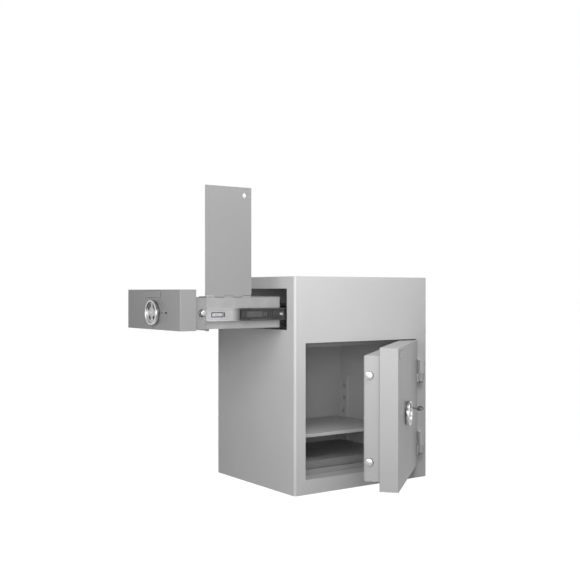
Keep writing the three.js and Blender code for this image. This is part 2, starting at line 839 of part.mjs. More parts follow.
const boltStart = boxLeft - doorBoltRestReach;
function doorBolt(z) {
  return rodAlongX(doorBoltRadius, boltStart, boltStart + doorBoltLength, doorBoltY, z);
}

function doorBoltBar() {
  const x0 = boltStart + doorBoltLength + seat;
  const armY = panelBack + 2 * camThickness + runGap;
  const bar = slab(
    x0, x0 + boltBarWidth, doorBoltY - boltBarThickness / 2, doorBoltY + boltBarThickness / 2,
    doorBoltHeights[0] - boltBarMargin, doorBoltHeights[1] + boltBarMargin,
  );
  const arm = slab(
    x0, handleX + spindleRadius, armY, armY + linkArmThickness,
    doorHandleHeight - linkArmHeight / 2, doorHandleHeight + linkArmHeight / 2,
  );
  const bracket = slab(
    x0, x0 + boltBarWidth, armY, doorBoltY,
    doorHandleHeight - linkArmHeight / 2, doorHandleHeight + linkArmHeight / 2,
  );
  return join(bar, arm, bracket);
}

// Key, built along +Z from the panel's face
function key() {
  const start = keyNeckLength;
  const shank = rodAlongZ(keyShankRadius, 0, 0, -keyShankInside, start + keyBowThickness, fineSides);
  const bow = new THREE.Shape();
  bow.absellipse(0, start + keyBowLength / 2, keyBowWidth / 2, keyBowLength / 2, 0, 2 * Math.PI);
  const hole = new THREE.Path();
  hole.absarc(0, start + keyBowLength - keyBowHoleInset, keyBowHoleRadius, 0, 2 * Math.PI, true);
  bow.holes.push(hole);
  const plateGeometry = new THREE.ExtrudeGeometry(bow, { depth: keyBowThickness, bevelEnabled: false });
  plateGeometry.translate(0, 0, -keyBowThickness / 2);
  plateGeometry.rotateX(Math.PI / 2);
  plateGeometry.rotateZ(THREE.MathUtils.degToRad(keyTilt));
  return join(shank, solid(plateGeometry));
}

// Drawer
function drawerFront() {
  const outline = roundedRectangle(
    left, left + drawerFrontThickness, drawerFrontNear, drawerFrontFar, drawerFrontEdge,
  );
  const block = prism(outline, drawerFrontBottom, drawerFrontTop);
  const spindleHole = rodAlongX(
    spindleRadius + seat, left - overrun, left + drawerFrontThickness + overrun,
    drawerHandleY, drawerHandleHeight,
  );
  const keyhole = rodAlongX(
    keyholeRadius, left - overrun, left + drawerFrontThickness + overrun,
    drawerLockY, drawerHandleHeight, fineSides,
  );
  return cut(block, spindleHole, keyhole);
}

function drawerLockHousing() {
  const near = drawerMiddle - trayHalfWidth;
  const far = drawerMiddle + trayHalfWidth;
  const bottom = drawerFrontBottom + housingWall;
  const block = slab(housingFront, housingBack, near, far, bottom, trayTop);
  const hollow = slab(
    housingFront + housingWall, housingBack + overrun, near + housingWall, far - housingWall,
    bottom + housingWall, trayTop - housingWall,
  );
  const boltHole = rodAlongY(
    drawerBoltRadius + runGap, drawerBoltX, near - overrun, far + overrun, drawerHandleHeight,
  );
  const spindleHole = rodAlongX(
    spindleRadius + seat, housingFront - overrun, housingFront + housingWall + overrun,
    drawerHandleY, drawerHandleHeight,
  );
  return cut(block, hollow, boltHole, spindleHole);
}

function drawerTray() {
  const near = drawerMiddle - trayHalfWidth;
  const far = drawerMiddle + trayHalfWidth;
  const block = slab(trayFront, trayBack, near, far, trayBottom, trayTop);
  const deposit = slab(
    trayFront + trayWall, dividerX - trayWall, near + trayWall, far - trayWall, trayBottom + trayWall,
    trayTop + overrun,
  );
  const rear = slab(
    dividerX, trayBack - trayWall, near + trayWall, far - trayWall, trayBottom + trayWall, trayTop + overrun,
  );
  const trap = slab(
    flapFront, flapBack - trayWall, flapNear, flapFar, trayBottom - overrun, trayBottom + 2 * trayWall,
  );
  const ears = [flapNear - flapEarThickness, flapFar].map((y) => slab(
    flapAxisX - flapEarWidth / 2, flapAxisX + flapEarWidth / 2, y, y + flapEarThickness,
    trayBottom - flapEarDrop, trayBottom + trayWall,
  ));
  const rodHole = rodAlongY(
    flapRodRadius + seat, flapAxisX, near - overrun, far + overrun, flapAxisZ, fineSides,
  );
  return cut(join(cut(block, deposit, rear, trap), ...ears), rodHole);
}

function trayRearCover() {
  return slab(
    dividerX, trayBack, drawerMiddle - trayHalfWidth, drawerMiddle + trayHalfWidth,
    trayTop + seat, trayTop + seat + shelfSheet,
  );
}

function flapPlate() {
  const sheet = slab(
    flapFront + flapGap, flapBack - trayWall - flapGap, flapNear + flapGap, flapFar - flapGap,
    trayBottom, trayBottom + trayWall,
  );
  const barrel = rodAlongY(
    flapHingeRadius, flapAxisX, flapNear + flapGap, flapFar - flapGap, flapAxisZ, fineSides,
  );
  const rodHole = rodAlongY(
    flapRodRadius + seat, flapAxisX, flapNear - overrun, flapFar + overrun, flapAxisZ, fineSides,
  );
  return cut(join(sheet, barrel), rodHole);
}

function flapRod() {
  return rodAlongY(
    flapRodRadius, flapAxisX, flapNear - flapEarThickness, flapFar + flapEarThickness, flapAxisZ, fineSides,
  );
}

// Lid hinge: the knuckles take turns, the outermost ones on the tray
const lidFront = trayFront;
const lidBack = dividerX;
const knuckleLength = (lidBack - lidFront) / lidKnuckles;
function lidBarrel(places) {
  return places.map((place) => rodAlongX(
    lidHingeRadius,
    lidFront + place * knuckleLength + seat / 2, lidFront + (place + 1) * knuckleLength - seat / 2,
    lidAxisY, lidAxisZ, fineSides,
  ));
}
function lidPlaces(own) {
  const places = Array.from({ length: lidKnuckles }, (unused, place) => place);
  return places.filter((place) => (place % 2 === 0) === own);
}
function lidBore() {
  return rodAlongX(lidPinRadius + seat, lidFront - overrun, lidBack + overrun, lidAxisY, lidAxisZ, fineSides);
}

function lidHingeLeaf() {
  const leafY = drawerMiddle - trayHalfWidth + trayWall + seat;
  const leaf = slab(
    lidFront + trayWall + seat, lidBack - trayWall - seat, leafY, leafY + lidLeafThickness,
    trayTop - lidLeafDepth, lidAxisZ - lidHingeRadius,
  );
  const ties = lidPlaces(true).map((place) => slab(
    Math.max(lidFront + trayWall + seat, lidFront + place * knuckleLength + seat / 2),
    Math.min(lidBack - trayWall - seat, lidFront + (place + 1) * knuckleLength - seat / 2),
    leafY, leafY + lidLeafThickness, lidAxisZ - 2 * lidHingeRadius, lidAxisZ,
  ));
  return cut(join(leaf, ...ties, ...lidBarrel(lidPlaces(true))), lidBore());
}

function lidHingePin() {
  return rodAlongX(lidPinRadius, lidFront, lidBack, lidAxisY, lidAxisZ, fineSides);
}

function drawerLid() {
  const top = lidAxisZ + 2 * trayHalfWidth + lidOverhang;
  const sheet = slab(lidFront, lidBack, lidAxisY - lidThickness, lidAxisY, lidAxisZ, top);
  const clearances = lidPlaces(true).map((place) => slab(
    lidFront + place * knuckleLength - (place === 0 ? overrun : seat / 2),
    lidFront + (place + 1) * knuckleLength + (place === lidKnuckles - 1 ? overrun : seat / 2),
    lidAxisY - lidThickness - overrun, lidAxisY + overrun,
    lidAxisZ - overrun, lidAxisZ + lidHingeRadius + runGap,
  ));
  const hole = rodAlongY(
    lidHoleRadius, lidBack - lidHoleInset, lidAxisY - lidThickness - overrun, lidAxisY + overrun,
    top - lidHoleInset,
  );
  return cut(join(cut(sheet, ...clearances), ...lidBarrel(lidPlaces(false))), lidBore(), hole);
}

// Drawer bolt with the flat arm that reaches the handle's cam; side is -1 near the door and 1 at the back
function drawerBolt(side) {
  const tip = drawerMiddle + side * (trayHalfWidth + drawerBoltRestReach);
  const root = tip - side * drawerBoltLength;
  const armX = housingFront + housingWall + 2 * camThickness + runGap;
  const round = rodAlongY(drawerBoltRadius, drawerBoltX, tip, root, drawerHandleHeight);
  const arm = slab(
    armX, armX + linkArmThickness,
    root + side * drawerBoltRadius, drawerHandleY + side * (spindleRadius + camThickness),
    drawerHandleHeight - drawerArmHeight / 2, drawerHandleHeight + drawerArmHeight / 2,
  );
  return join(round, arm);
}

function drawerPlate() {
  const z = drawerFrontTop - drawerPlateFromTop;
  return slab(
    left - seat - plateThickness, left - seat,
    drawerMiddle - drawerPlateWidth / 2, drawerMiddle + drawerPlateWidth / 2,
    z - drawerPlateHeight / 2, z + drawerPlateHeight / 2,
  );
}

// Assembly
const sides = [['near', -1], ['far', 1]];
const levels = ['lower', 'upper'];

cabinet.add(
  meshOf('cabinet_shell', cabinetShell(), cabinetPaint),
  meshOf('door_frame_lip', doorFrameLip(), innerPaint),
  meshOf('compartment_deck', compartmentDeck(), innerPaint),
  meshOf('anti_fishing_baffle', antiFishingBaffle(), zinc),
  meshOf('floor_plate', floorPlate(), innerPaint),
  meshOf('shelf', shelf(), innerPaint),
  meshOf('far_slide_bracket', slideBracket(), zinc),
);
for (const [wallName, side] of [['left', -1], ['right', 1]]) {
  for (const [index, y] of railPlaces.entries()) {
    const place = `${wallName}_${['front', 'rear'][index]}`;
    cabinet.add(meshOf(`shelf_rail_${place}`, shelfRail(side, y), zinc));
    cabinet.add(meshOf(`shelf_hook_${place}`, shelfHook(side, y), zinc));
  }
  cabinet.add(meshOf(`anchor_plug_${wallName}`, anchorPlug(side), darkSteel));
}
for (const [index, base] of hingeBaseHeights.entries()) {
  cabinet.add(meshOf(`hinge_block_${levels[index]}`, hingeBlock(base), cabinetPaint));
  cabinet.add(meshOf(`hinge_pin_${levels[index]}`, hingePin(base), darkSteel));
  doorParts.add(meshOf(`hinge_knuckle_${levels[index]}`, doorKnuckle(base), doorPaint));
}

for (const [name, side] of sides) {
  cabinet.add(meshOf(`slide_cabinet_member_${name}`, slideBodyMember(side), zinc));
  slideMiddles.add(meshOf(`slide_middle_member_${name}`, slideMiddleMember(side), darkSteel));
  drawer.add(meshOf(`slide_drawer_member_${name}`, slideDrawerMember(side), zinc));
  drawer.add(meshOf(`drawer_bolt_${name}`, drawerBolt(side), chrome));
}

doorParts.add(
  meshOf('door_panel', doorPanel(), doorPaint),
  meshOf('boltwork_frame', boltworkFrame(), doorPaint),
  meshOf('boltwork_cover', boltworkCover(), doorPaint),
  meshOf('door_name_plate_blank', doorPlate(), plateGrey),
  meshOf('door_lock_case', doorLockCase(), darkSteel),
  meshOf('door_head_strip', doorHeadStrip(), plateGrey),
  meshOf('door_bolt_bar', doorBoltBar(), zinc),
  faceFront(meshOf('door_lock_escutcheon', escutcheon(), castHandle), lockX, front, doorHandleHeight),
  faceFront(meshOf('door_handle', ringHandle(), castHandle), handleX, front, doorHandleHeight),
  faceFront(
    meshOf('door_handle_spindle', spindle(doorThickness, camThickness), darkSteel),
    handleX, front, doorHandleHeight,
  ),
  faceFront(meshOf('door_key', key(), darkSteel), lockX, front, doorHandleHeight),
);
for (const [index, z] of doorBoltHeights.entries()) {
  doorParts.add(meshOf(`door_bolt_${levels[index]}`, doorBolt(z), chrome));
  doorParts.add(meshOf(`hinge_side_dog_${levels[index]}`, hingeSideDog(z), darkSteel));
}

const drawerSpindle = spindle(drawerFrontThickness + seat + housingWall, camThickness);
drawer.add(
  meshOf('drawer_front', drawerFront(), doorPaint),
  meshOf('drawer_lock_housing', drawerLockHousing(), doorPaint),
  meshOf('drawer_tray', drawerTray(), zinc),
  meshOf('tray_rear_cover', trayRearCover(), zinc),
  meshOf('drop_flap', flapPlate(), zinc),
  meshOf('drop_flap_rod', flapRod(), darkSteel),
  meshOf('lid_hinge_leaf', lidHingeLeaf(), zinc),
  meshOf('lid_hinge_pin', lidHingePin(), darkSteel),
  meshOf('drawer_lid', drawerLid(), innerPaint),
  meshOf('drawer_name_plate_blank', drawerPlate(), plateGrey),
  faceLeft(meshOf('drawer_lock_escutcheon', escutcheon(), castHandle), left, drawerLockY, drawerHandleHeight),
  faceLeft(meshOf('drawer_handle', ringHandle(), castHandle), left, drawerHandleY, drawerHandleHeight),
  faceLeft(
    meshOf('drawer_handle_spindle', drawerSpindle, darkSteel), left, drawerHandleY, drawerHandleHeight,
  ),
);

export default safe;
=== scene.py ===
"""Drop safe with a deposit drawer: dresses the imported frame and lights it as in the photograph."""

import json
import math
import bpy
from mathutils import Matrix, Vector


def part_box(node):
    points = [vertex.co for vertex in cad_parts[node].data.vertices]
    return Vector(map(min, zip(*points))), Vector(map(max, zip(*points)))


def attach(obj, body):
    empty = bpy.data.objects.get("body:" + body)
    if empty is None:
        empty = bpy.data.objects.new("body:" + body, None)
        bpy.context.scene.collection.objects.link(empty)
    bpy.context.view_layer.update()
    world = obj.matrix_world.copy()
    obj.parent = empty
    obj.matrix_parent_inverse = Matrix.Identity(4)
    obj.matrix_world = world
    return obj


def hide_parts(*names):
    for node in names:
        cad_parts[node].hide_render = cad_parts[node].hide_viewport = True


bl_info = {
    "name": "Drop safe with deposit drawer",
    "version": (1, 0, 0),
    "blender": (4, 5, 0),
    "location": "View3D > Sidebar > Drop safe",
    "description": "Finishes, fittings and a plain studio for the packed drop safe",
    "category": "Add Mesh",
}

import bmesh
import bpy
from mathutils import Matrix, Vector

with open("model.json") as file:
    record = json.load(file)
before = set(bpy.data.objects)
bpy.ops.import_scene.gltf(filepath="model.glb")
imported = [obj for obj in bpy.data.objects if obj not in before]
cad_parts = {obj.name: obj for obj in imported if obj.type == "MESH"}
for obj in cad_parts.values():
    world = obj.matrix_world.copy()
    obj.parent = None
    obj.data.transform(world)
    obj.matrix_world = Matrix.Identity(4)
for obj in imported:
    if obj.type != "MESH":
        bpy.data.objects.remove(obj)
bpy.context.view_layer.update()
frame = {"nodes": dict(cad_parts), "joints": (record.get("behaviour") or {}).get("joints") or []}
nodes = frame["nodes"]

MM = 0.001
TURN = 2 * math.pi
DOOR_OPEN = math.radians(40.3)

# Places on the shut door, in millimetres: its outer face, its bolt box, the bolts, the cover's rear face
# and the middle of its blank plate
DOOR_FRONT = -213.5
BOX_LEFT = -186.68
BOX_RIGHT = 185.5
DOOR_BOLT_Y = -131.0
COVER_BACK = -116.2
DOOR_PLATE = (-146.68, 407.4)

# Directions of the door's own width and of its outer face, as it stands open
DOOR_RIGHT = Vector((math.cos(DOOR_OPEN), math.sin(DOOR_OPEN), 0))
DOOR_OUT = Vector((math.sin(DOOR_OPEN), -math.cos(DOOR_OPEN), 0))
UP = Vector((0, 0, 1))
SHARP_TURN = math.radians(25)

# Shading and rounding of edges: angles from which an edge is sharp or rounded, and what counts as one
# point or one flat face
SMOOTH_BELOW = math.radians(32)
ROUND_FROM = math.radians(35)
FLAT_WITHIN = math.radians(0.5)
SAME_POINT = 0.01 * MM

# The photograph: its width and the lens in pixels, how far its middle lies off the horizon, and where the
# camera stands and looks, in metres
PICTURE_WIDTH = 580
LENS_PIXELS = 910.6
HORIZON_SHIFT = 1.5
SENSOR_WIDTH = 36
CAMERA_PLACE = (-1.7291, -2.3034, 0.5769)
CAMERA_AIM = (0.5729, 0.8197, 0)


def joint_place(name):
    """Where a joint's axis passes, in metres."""
    return Vector(next(joint for joint in frame["joints"] if joint["name"] == name)["pos_m"])


def door_point(x, y, z):
    """Where a point of the shut door stands with the door open; all in millimetres."""
    hinge = joint_place("door_hinge") / MM
    across, inward = x - hinge.x, y - hinge.y
    spot = Vector((hinge.x, hinge.y, 0)) + DOOR_RIGHT * across - DOOR_OUT * inward
    return Vector((spot.x, spot.y, z)) * MM


def facing(place, out, turn=0.0):
    """Places a form whose own Z points out of a panel, X to the panel's right and Y up."""
    out = Vector(out)
    right = UP.cross(out)
    basis = Matrix((right, UP, out)).transposed().to_4x4()
    return Matrix.Translation(place) @ basis @ Matrix.Rotation(turn, 4, "Z") @ Matrix.Scale(MM, 4)


# Sizes and colours that a user would change


class SAFE_PG_finish(bpy.types.PropertyGroup):
    cabinet_colour: bpy.props.FloatVectorProperty(
        name="Cabinet colour", description="Powder coat on the cabinet body",
        subtype="COLOR", size=3, min=0, max=1, default=(0.60, 0.60, 0.60),
    )
    # Door grey: darker than the cabinet's, partly its own paint and partly painted shade
    door_colour: bpy.props.FloatVectorProperty(
        name="Door colour", description="Powder coat on the door and its bolt box",
        subtype="COLOR", size=3, min=0, max=1, default=(0.435, 0.435, 0.435),
    )
    # Drawer grey: much darker than the cabinet's, partly its own paint and partly painted shade
    drawer_colour: bpy.props.FloatVectorProperty(
        name="Drawer colour", description="Powder coat on the drawer's front, housing and lid",
        subtype="COLOR", size=3, min=0, max=1, default=(0.295, 0.295, 0.295),
    )
    # Inner grey: darker than the cabinet's, partly its own paint and partly painted shade inside the cabinet
    inner_colour: bpy.props.FloatVectorProperty(
        name="Inner colour", description="Powder coat on the floor plate and the deck",
        subtype="COLOR", size=3, min=0, max=1, default=(0.32, 0.32, 0.32),
    )
    # Shelf grey: lighter than the inner grey, as painted light on the shelf's top
    shelf_colour: bpy.props.FloatVectorProperty(
        name="Shelf colour", description="Light powder coat on the shelf",
        subtype="COLOR", size=3, min=0, max=1, default=(0.66, 0.66, 0.66),
    )
    plate_colour: bpy.props.FloatVectorProperty(
        name="Plate colour", description="Blank plates and the strip on the door",
        subtype="COLOR", size=3, min=0, max=1, default=(0.70, 0.70, 0.71),
    )
    paint_roughness: bpy.props.FloatProperty(
        name="Paint roughness", description="How matt the powder coat is", min=0, max=1, default=0.42,
    )


class SAFE_PG_fittings(bpy.types.PropertyGroup):
    ring_radius: bpy.props.FloatProperty(
        name="Ring handle radius", description="Outer radius of both ring handles",
        subtype="DISTANCE", unit="LENGTH", min=0, default=34.5 * MM,
    )
    ring_depth: bpy.props.FloatProperty(
        name="Ring handle depth", description="Thickness of the ring handles' rims from rear to front",
        subtype="DISTANCE", unit="LENGTH", min=0, default=9.6 * MM,
    )
    ring_rim: bpy.props.FloatProperty(
        name="Ring handle rim", description="Width of the ring handles' polished rim",
        subtype="DISTANCE", unit="LENGTH", min=0, default=5 * MM,
    )
    key_turn: bpy.props.FloatProperty(
        name="Key bow angle", description="How far the bow of the key is turned from level",
        subtype="ANGLE", unit="ROTATION", default=math.radians(36),
    )
    screw_radius: bpy.props.FloatProperty(
        name="Screw head radius", description="Radius of the button-head screws",
        subtype="DISTANCE", unit="LENGTH", min=0, default=4.2 * MM,
    )


class SAFE_PG_stage(bpy.types.PropertyGroup):
    key_power: bpy.props.FloatProperty(
        name="Key light", description="Power of the large soft light at the front left",
        unit="POWER", min=0, default=13,
    )
    side_power: bpy.props.FloatProperty(
        name="Side light", description="Power of the soft light at the left",
        unit="POWER", min=0, default=7.3,
    )
    head_power: bpy.props.FloatProperty(
        name="Head light", description="Power of the soft light above the front",
        unit="POWER", min=0, default=8.3,
    )
    fill_power: bpy.props.FloatProperty(
        name="Fill light", description="Power of the soft light at the right",
        unit="POWER", min=0, default=1.3,
    )
    sky_strength: bpy.props.FloatProperty(
        name="Room light", description="Strength of the even light from all around", min=0, default=0.025,
    )
    floor_colour: bpy.props.FloatVectorProperty(
        name="Floor colour", description="Colour of the studio floor",
        subtype="COLOR", size=3, min=0, max=1, default=(0.14, 0.14, 0.14),
    )


# Shader nodes written as Python


class Socket:
    """A node's output that Python's operators turn into Math nodes."""

    def __init__(self, shader, output):
        self.shader = shader
        self.output = output

    def math(self, operation, first, second):
        return self.shader.node("ShaderNodeMath", {"operation": operation}, {0: first, 1: second}).out()

    def __add__(self, other):
        return self.math("ADD", self, other)

    def __radd__(self, other):
        return self.math("ADD", other, self)

    def __mul__(self, other):
        return self.math("MULTIPLY", self, other)

    def __rmul__(self, other):
        return self.math("MULTIPLY", other, self)


class NodeOf:
    """One node of a shader, with its outputs by name or place."""

    def __init__(self, shader, node):
        self.shader = shader
        self.made = node

    def out(self, key=0):
        return Socket(self.shader, self.made.outputs[key])


class Shader:
    """A material or world whose nodes are added one call at a time."""

    def __init__(self, owner):
        owner.use_nodes = True
        self.owner = owner
        self.tree = owner.node_tree
        self.tree.nodes.clear()

    def node(self, kind, settings=None, values=None):
        made = self.tree.nodes.new(kind)
        for key, setting in (settings or {}).items():
            setattr(made, key, setting)
        for key, value in (values or {}).items():
            if isinstance(value, Socket):
                self.tree.links.new(value.output, made.inputs[key])
            else:
                made.inputs[key].default_value = value
        return NodeOf(self, made)

    def place(self):
        return self.node("ShaderNodeTexCoord").out("Object")

    def noise(self, scale, detail=2.0, roughness=0.5, stretch=(1, 1, 1)):
        mapped = self.node("ShaderNodeMapping", None, {"Vector": self.place(), "Scale": stretch})
        return self.node(
            "ShaderNodeTexNoise", None,
            {"Vector": mapped.out(), "Scale": scale, "Detail": detail, "Roughness": roughness},
        ).out("Fac")

    def blend(self, share, first, second):
        return self.node(
            "ShaderNodeMix", {"data_type": "RGBA"}, {"Factor": share, "A": first, "B": second},
        ).out(2)

    def clouded(self, pattern, colour, dark, light, low=0.3, high=0.7):
        """A colour that a pattern varies between two factors of it."""
        share = self.range(pattern, 0, 1, low, high)
        return self.blend(share, shade_of(colour, dark), shade_of(colour, light))

    def seen_directly(self):
        """1 for what the camera sees, also mirrored or through glass, and 0 for what only lights the part."""
        path = self.node("ShaderNodeLightPath")
        return path.out("Is Camera Ray") + path.out("Is Glossy Ray") + path.out("Is Transmission Ray")

    def range(self, value, low, high, from_low=0.0, from_high=1.0):
        return self.node(
            "ShaderNodeMapRange", None,
            {"Value": value, "From Min": from_low, "From Max": from_high, "To Min": low, "To Max": high},
        ).out()

    def bump(self, height, strength, distance):
        return self.node(
            "ShaderNodeBump", None, {"Height": height, "Strength": strength, "Distance": distance},
        ).out()

    def finish(self, **sockets):
        values = {key.replace("_", " "): value for key, value in sockets.items()}
        body = self.node("ShaderNodeBsdfPrincipled", None, values)
        self.node("ShaderNodeOutputMaterial", None, {"Surface": body.out()})
        return self.owner


def shade_of(colour, factor):
    return tuple(min(1.0, part * factor) for part in colour) + (1.0,)


def powder_coat(name, colour, roughness, worn=False):
    """Satin powder coat with fine orange peel and faint clouds; the edge coat is lighter and glossier, its
    lighter colour partly wear and partly a painted highlight along rounded edges.
    """
    shader = Shader(bpy.data.materials.new(name))
    peel = shader.noise(520, 1.5, 0.45)
    cloud = shader.noise(4.5, 3.0, 0.6)
    speck = shader.noise(1600, 1.0, 0.5)
    height = peel + speck * 0.25
    # Edge coat colour: lighter, partly wear and partly a painted highlight on the rounded edges
    edge_lift = 1.10 if worn else 1.0
    gloss = roughness - 0.07 if worn else roughness
    return shader.finish(
        Base_Color=shader.clouded(cloud, colour, 0.965 * edge_lift, 1.02 * edge_lift),
        Roughness=shader.range(cloud, gloss + 0.04, gloss - 0.03, 0.3, 0.7),
        Specular_IOR_Level=0.5,
        Normal=shader.bump(height, 0.22, 0.00025),
    )


def rolled_sheet(name, colour, roughness, metal, shade_span=None):
    """Zinc-plated sheet with rolling lines; the last argument gives the X where a painted shade starts to darken
    the sheet and the X where that shade is full.
    """
    shader = Shader(bpy.data.materials.new(name))
    lines = shader.noise(18, 4.0, 0.7, (1, 40, 40))
    patch = shader.noise(26, 3.0, 0.6)
    base = shader.clouded(patch, colour, 0.88, 1.06)
    if shade_span:
        shade_start, full = shade_span
        # Painted shade: the sheet darkens along X between the two given places
        along_x = shader.node("ShaderNodeSeparateXYZ", None, {"Vector": shader.place()}).out("X")
        painted_shade = shader.range(along_x + patch * 0.006, 0, 1, shade_start * MM + 0.003, full * MM + 0.003)
        base = shader.blend(painted_shade, base, shade_of(colour, 0.2))
    return shader.finish(
        Base_Color=base,
        Metallic=metal,
        Roughness=shader.range(lines + patch * 0.6, roughness - 0.06, roughness + 0.10, 0.5, 1.1),
        Normal=shader.bump(lines, 0.18, 0.0002),
    )


def turned_chrome(name, colour, roughness):
    """Polished chrome over steel, with very fine tool marks."""
    shader = Shader(bpy.data.materials.new(name))
    marks = shader.noise(900, 2.0, 0.6)
    smear = shader.noise(40, 2.0, 0.5)
    return shader.finish(
        Base_Color=shader.clouded(smear, colour, 0.94, 1.0, 0.35, 0.65),
        Metallic=1.0,
        Roughness=shader.range(smear, roughness - 0.02, roughness + 0.06, 0.3, 0.7),
        Normal=shader.bump(marks, 0.08, 0.0001),
    )


def cast_metal(name, colour, roughness):
    """Satin cast handle metal, blasted and clear coated, so it has a fine grain under a soft shine."""
    shader = Shader(bpy.data.materials.new(name))
    grain = shader.noise(1300, 2.0, 0.6)
    smear = shader.noise(60, 2.0, 0.5)
    return shader.finish(
        Base_Color=shader.clouded(grain, colour, 0.92, 1.04),
        Metallic=1.0,
        Roughness=shader.range(smear, roughness - 0.04, roughness + 0.08, 0.3, 0.7),
        Normal=shader.bump(grain, 0.14, 0.00012),
    )


def dark_metal(name, colour, roughness):
    """Phosphated or oiled dark steel with uneven, slightly mottled shine."""
    shader = Shader(bpy.data.materials.new(name))
    mottle = shader.noise(140, 3.0, 0.6)
    grain = shader.noise(1100, 2.0, 0.6)
    return shader.finish(
        Base_Color=shader.clouded(mottle, colour, 0.8, 1.15, 0.35, 0.65),
        Metallic=1.0,
        Roughness=shader.range(mottle, roughness - 0.08, roughness + 0.10, 0.3, 0.7),
        Normal=shader.bump(grain, 0.16, 0.00015),
    )


def brushed_plate(name, colour, roughness):
    """Light anodised plate with fine level brushing."""
    shader = Shader(bpy.data.materials.new(name))
    lines = shader.noise(60, 3.0, 0.7, (1, 1, 30))
    return shader.finish(
        Base_Color=shader.clouded(lines, colour, 0.93, 1.03, 0.35, 0.65),
        Metallic=0.55,
        Roughness=shader.range(lines, roughness, roughness + 0.12, 0.35, 0.65),
        Normal=shader.bump(lines, 0.12, 0.0001),
    )


def moulded_plastic(name, colour, roughness):
    """Moulded plastic with a fine spark-eroded grain and slightly greasy patches."""
    shader = Shader(bpy.data.materials.new(name))
    grain = shader.noise(1500, 2.0, 0.6)
    touched = shader.noise(35, 2.0, 0.5)
    return shader.finish(
        Base_Color=shader.clouded(touched, colour, 0.9, 1.12),
        Roughness=shader.range(touched, roughness + 0.05, roughness - 0.06, 0.3, 0.7),
        Specular_IOR_Level=0.5,
        Normal=shader.bump(grain, 0.2, 0.00012),
    )


finishes = {}


def give(piece, finish, edge=None):
    """Puts a finish on a piece, and a second one on the faces that its bevel makes."""
    piece.data.materials.clear()
    piece.data.materials.append(finishes[finish])
    if edge:
        piece.data.materials.append(finishes[edge])


# Smooth shading of the frame's own nodes


def smooth_group():
    """Geometry nodes that shade a piece smooth apart from its sharp edges."""
    group = bpy.data.node_groups.new("safe_smooth_edges", "GeometryNodeTree")
    group.interface.new_socket("Geometry", in_out="INPUT", socket_type="NodeSocketGeometry")
    group.interface.new_socket("Geometry", in_out="OUTPUT", socket_type="NodeSocketGeometry")
    start = group.nodes.new("NodeGroupInput")
    end = group.nodes.new("NodeGroupOutput")
    angle = group.nodes.new("GeometryNodeInputMeshEdgeAngle")
    flat = group.nodes.new("FunctionNodeCompare")
    flat.data_type = "FLOAT"
    flat.operation = "LESS_THAN"
    flat.inputs[1].default_value = SMOOTH_BELOW
    faces = group.nodes.new("GeometryNodeSetShadeSmooth")
    faces.domain = "FACE"
    edges = group.nodes.new("GeometryNodeSetShadeSmooth")
    edges.domain = "EDGE"
    group.links.new(start.outputs[0], faces.inputs[0])
    group.links.new(faces.outputs[0], edges.inputs[0])
    group.links.new(angle.outputs[0], flat.inputs[0])
    group.links.new(flat.outputs[0], edges.inputs["Shade Smooth"])
    group.links.new(edges.outputs[0], end.inputs[0])
    return group


def shade(piece):
    smooth = piece.modifiers.new("smooth", "NODES")
    smooth.node_group = bpy.data.node_groups["safe_smooth_edges"]
    weights = piece.modifiers.new("normals", "WEIGHTED_NORMAL")
    weights.keep_sharp = True
    weights.weight = 100
    return piece


def soften(node, radius, segments=2, edge_slot=None):
    """Welds, rounds and shades a CAD node through modifiers, which leave its mesh as it is."""
    piece = nodes[node]
    weld = piece.modifiers.new("weld", "WELD")
    weld.merge_threshold = SAME_POINT
    merge = piece.modifiers.new("flat faces", "DECIMATE")
    merge.decimate_type = "DISSOLVE"
    merge.angle_limit = FLAT_WITHIN
    if radius > 0:
        bevel = piece.modifiers.new("edges", "BEVEL")
        bevel.width = radius
        bevel.segments = segments
        bevel.limit_method = "ANGLE"
        bevel.angle_limit = ROUND_FROM
        bevel.harden_normals = False
        bevel.use_clamp_overlap = True
        if edge_slot is not None:
            bevel.material = edge_slot
    return shade(piece)


# Forms, in millimetres


def circle(radius, sides=40, x=0.0, y=0.0):
    angles = [TURN * step / sides for step in range(sides)]
    return [(x + radius * math.cos(angle), y + radius * math.sin(angle)) for angle in angles]


def softened(outline, radius, steps=4):
    """An outline whose sharp corners become short curves."""
    soft = []
    for index, corner in enumerate(outline):
        here = Vector(corner)
        before = Vector(outline[index - 1])
        after = Vector(outline[(index + 1) % len(outline)])
        if (here - before).angle(after - here) < SHARP_TURN:
            soft.append(corner)
            continue
        start = here + (before - here).normalized() * min(radius, (before - here).length / 2)
        end = here + (after - here).normalized() * min(radius, (after - here).length / 2)
        for step in range(steps + 1):
            share = step / steps
            soft.append(tuple(start.lerp(here, share).lerp(here.lerp(end, share), share)))
    return soft


def rectangle(width, height, corner=0.0, x=0.0, y=0.0):
    across, up = width / 2, height / 2
    outline = [(x - across, y - up), (x + across, y - up), (x + across, y + up), (x - across, y + up)]
    return softened(outline, corner) if corner else outline


def ring_window(inner, outer, start, end, corner):
    """Outline of a window between two radii and two angles in degrees."""
    steps = 6
    angles = [math.radians(start + (end - start) * step / steps) for step in range(steps + 1)]
    outline = [(outer * math.cos(angle), outer * math.sin(angle)) for angle in angles]
    outline += [(inner * math.cos(angle), inner * math.sin(angle)) for angle in reversed(angles)]
    return softened(outline, corner)


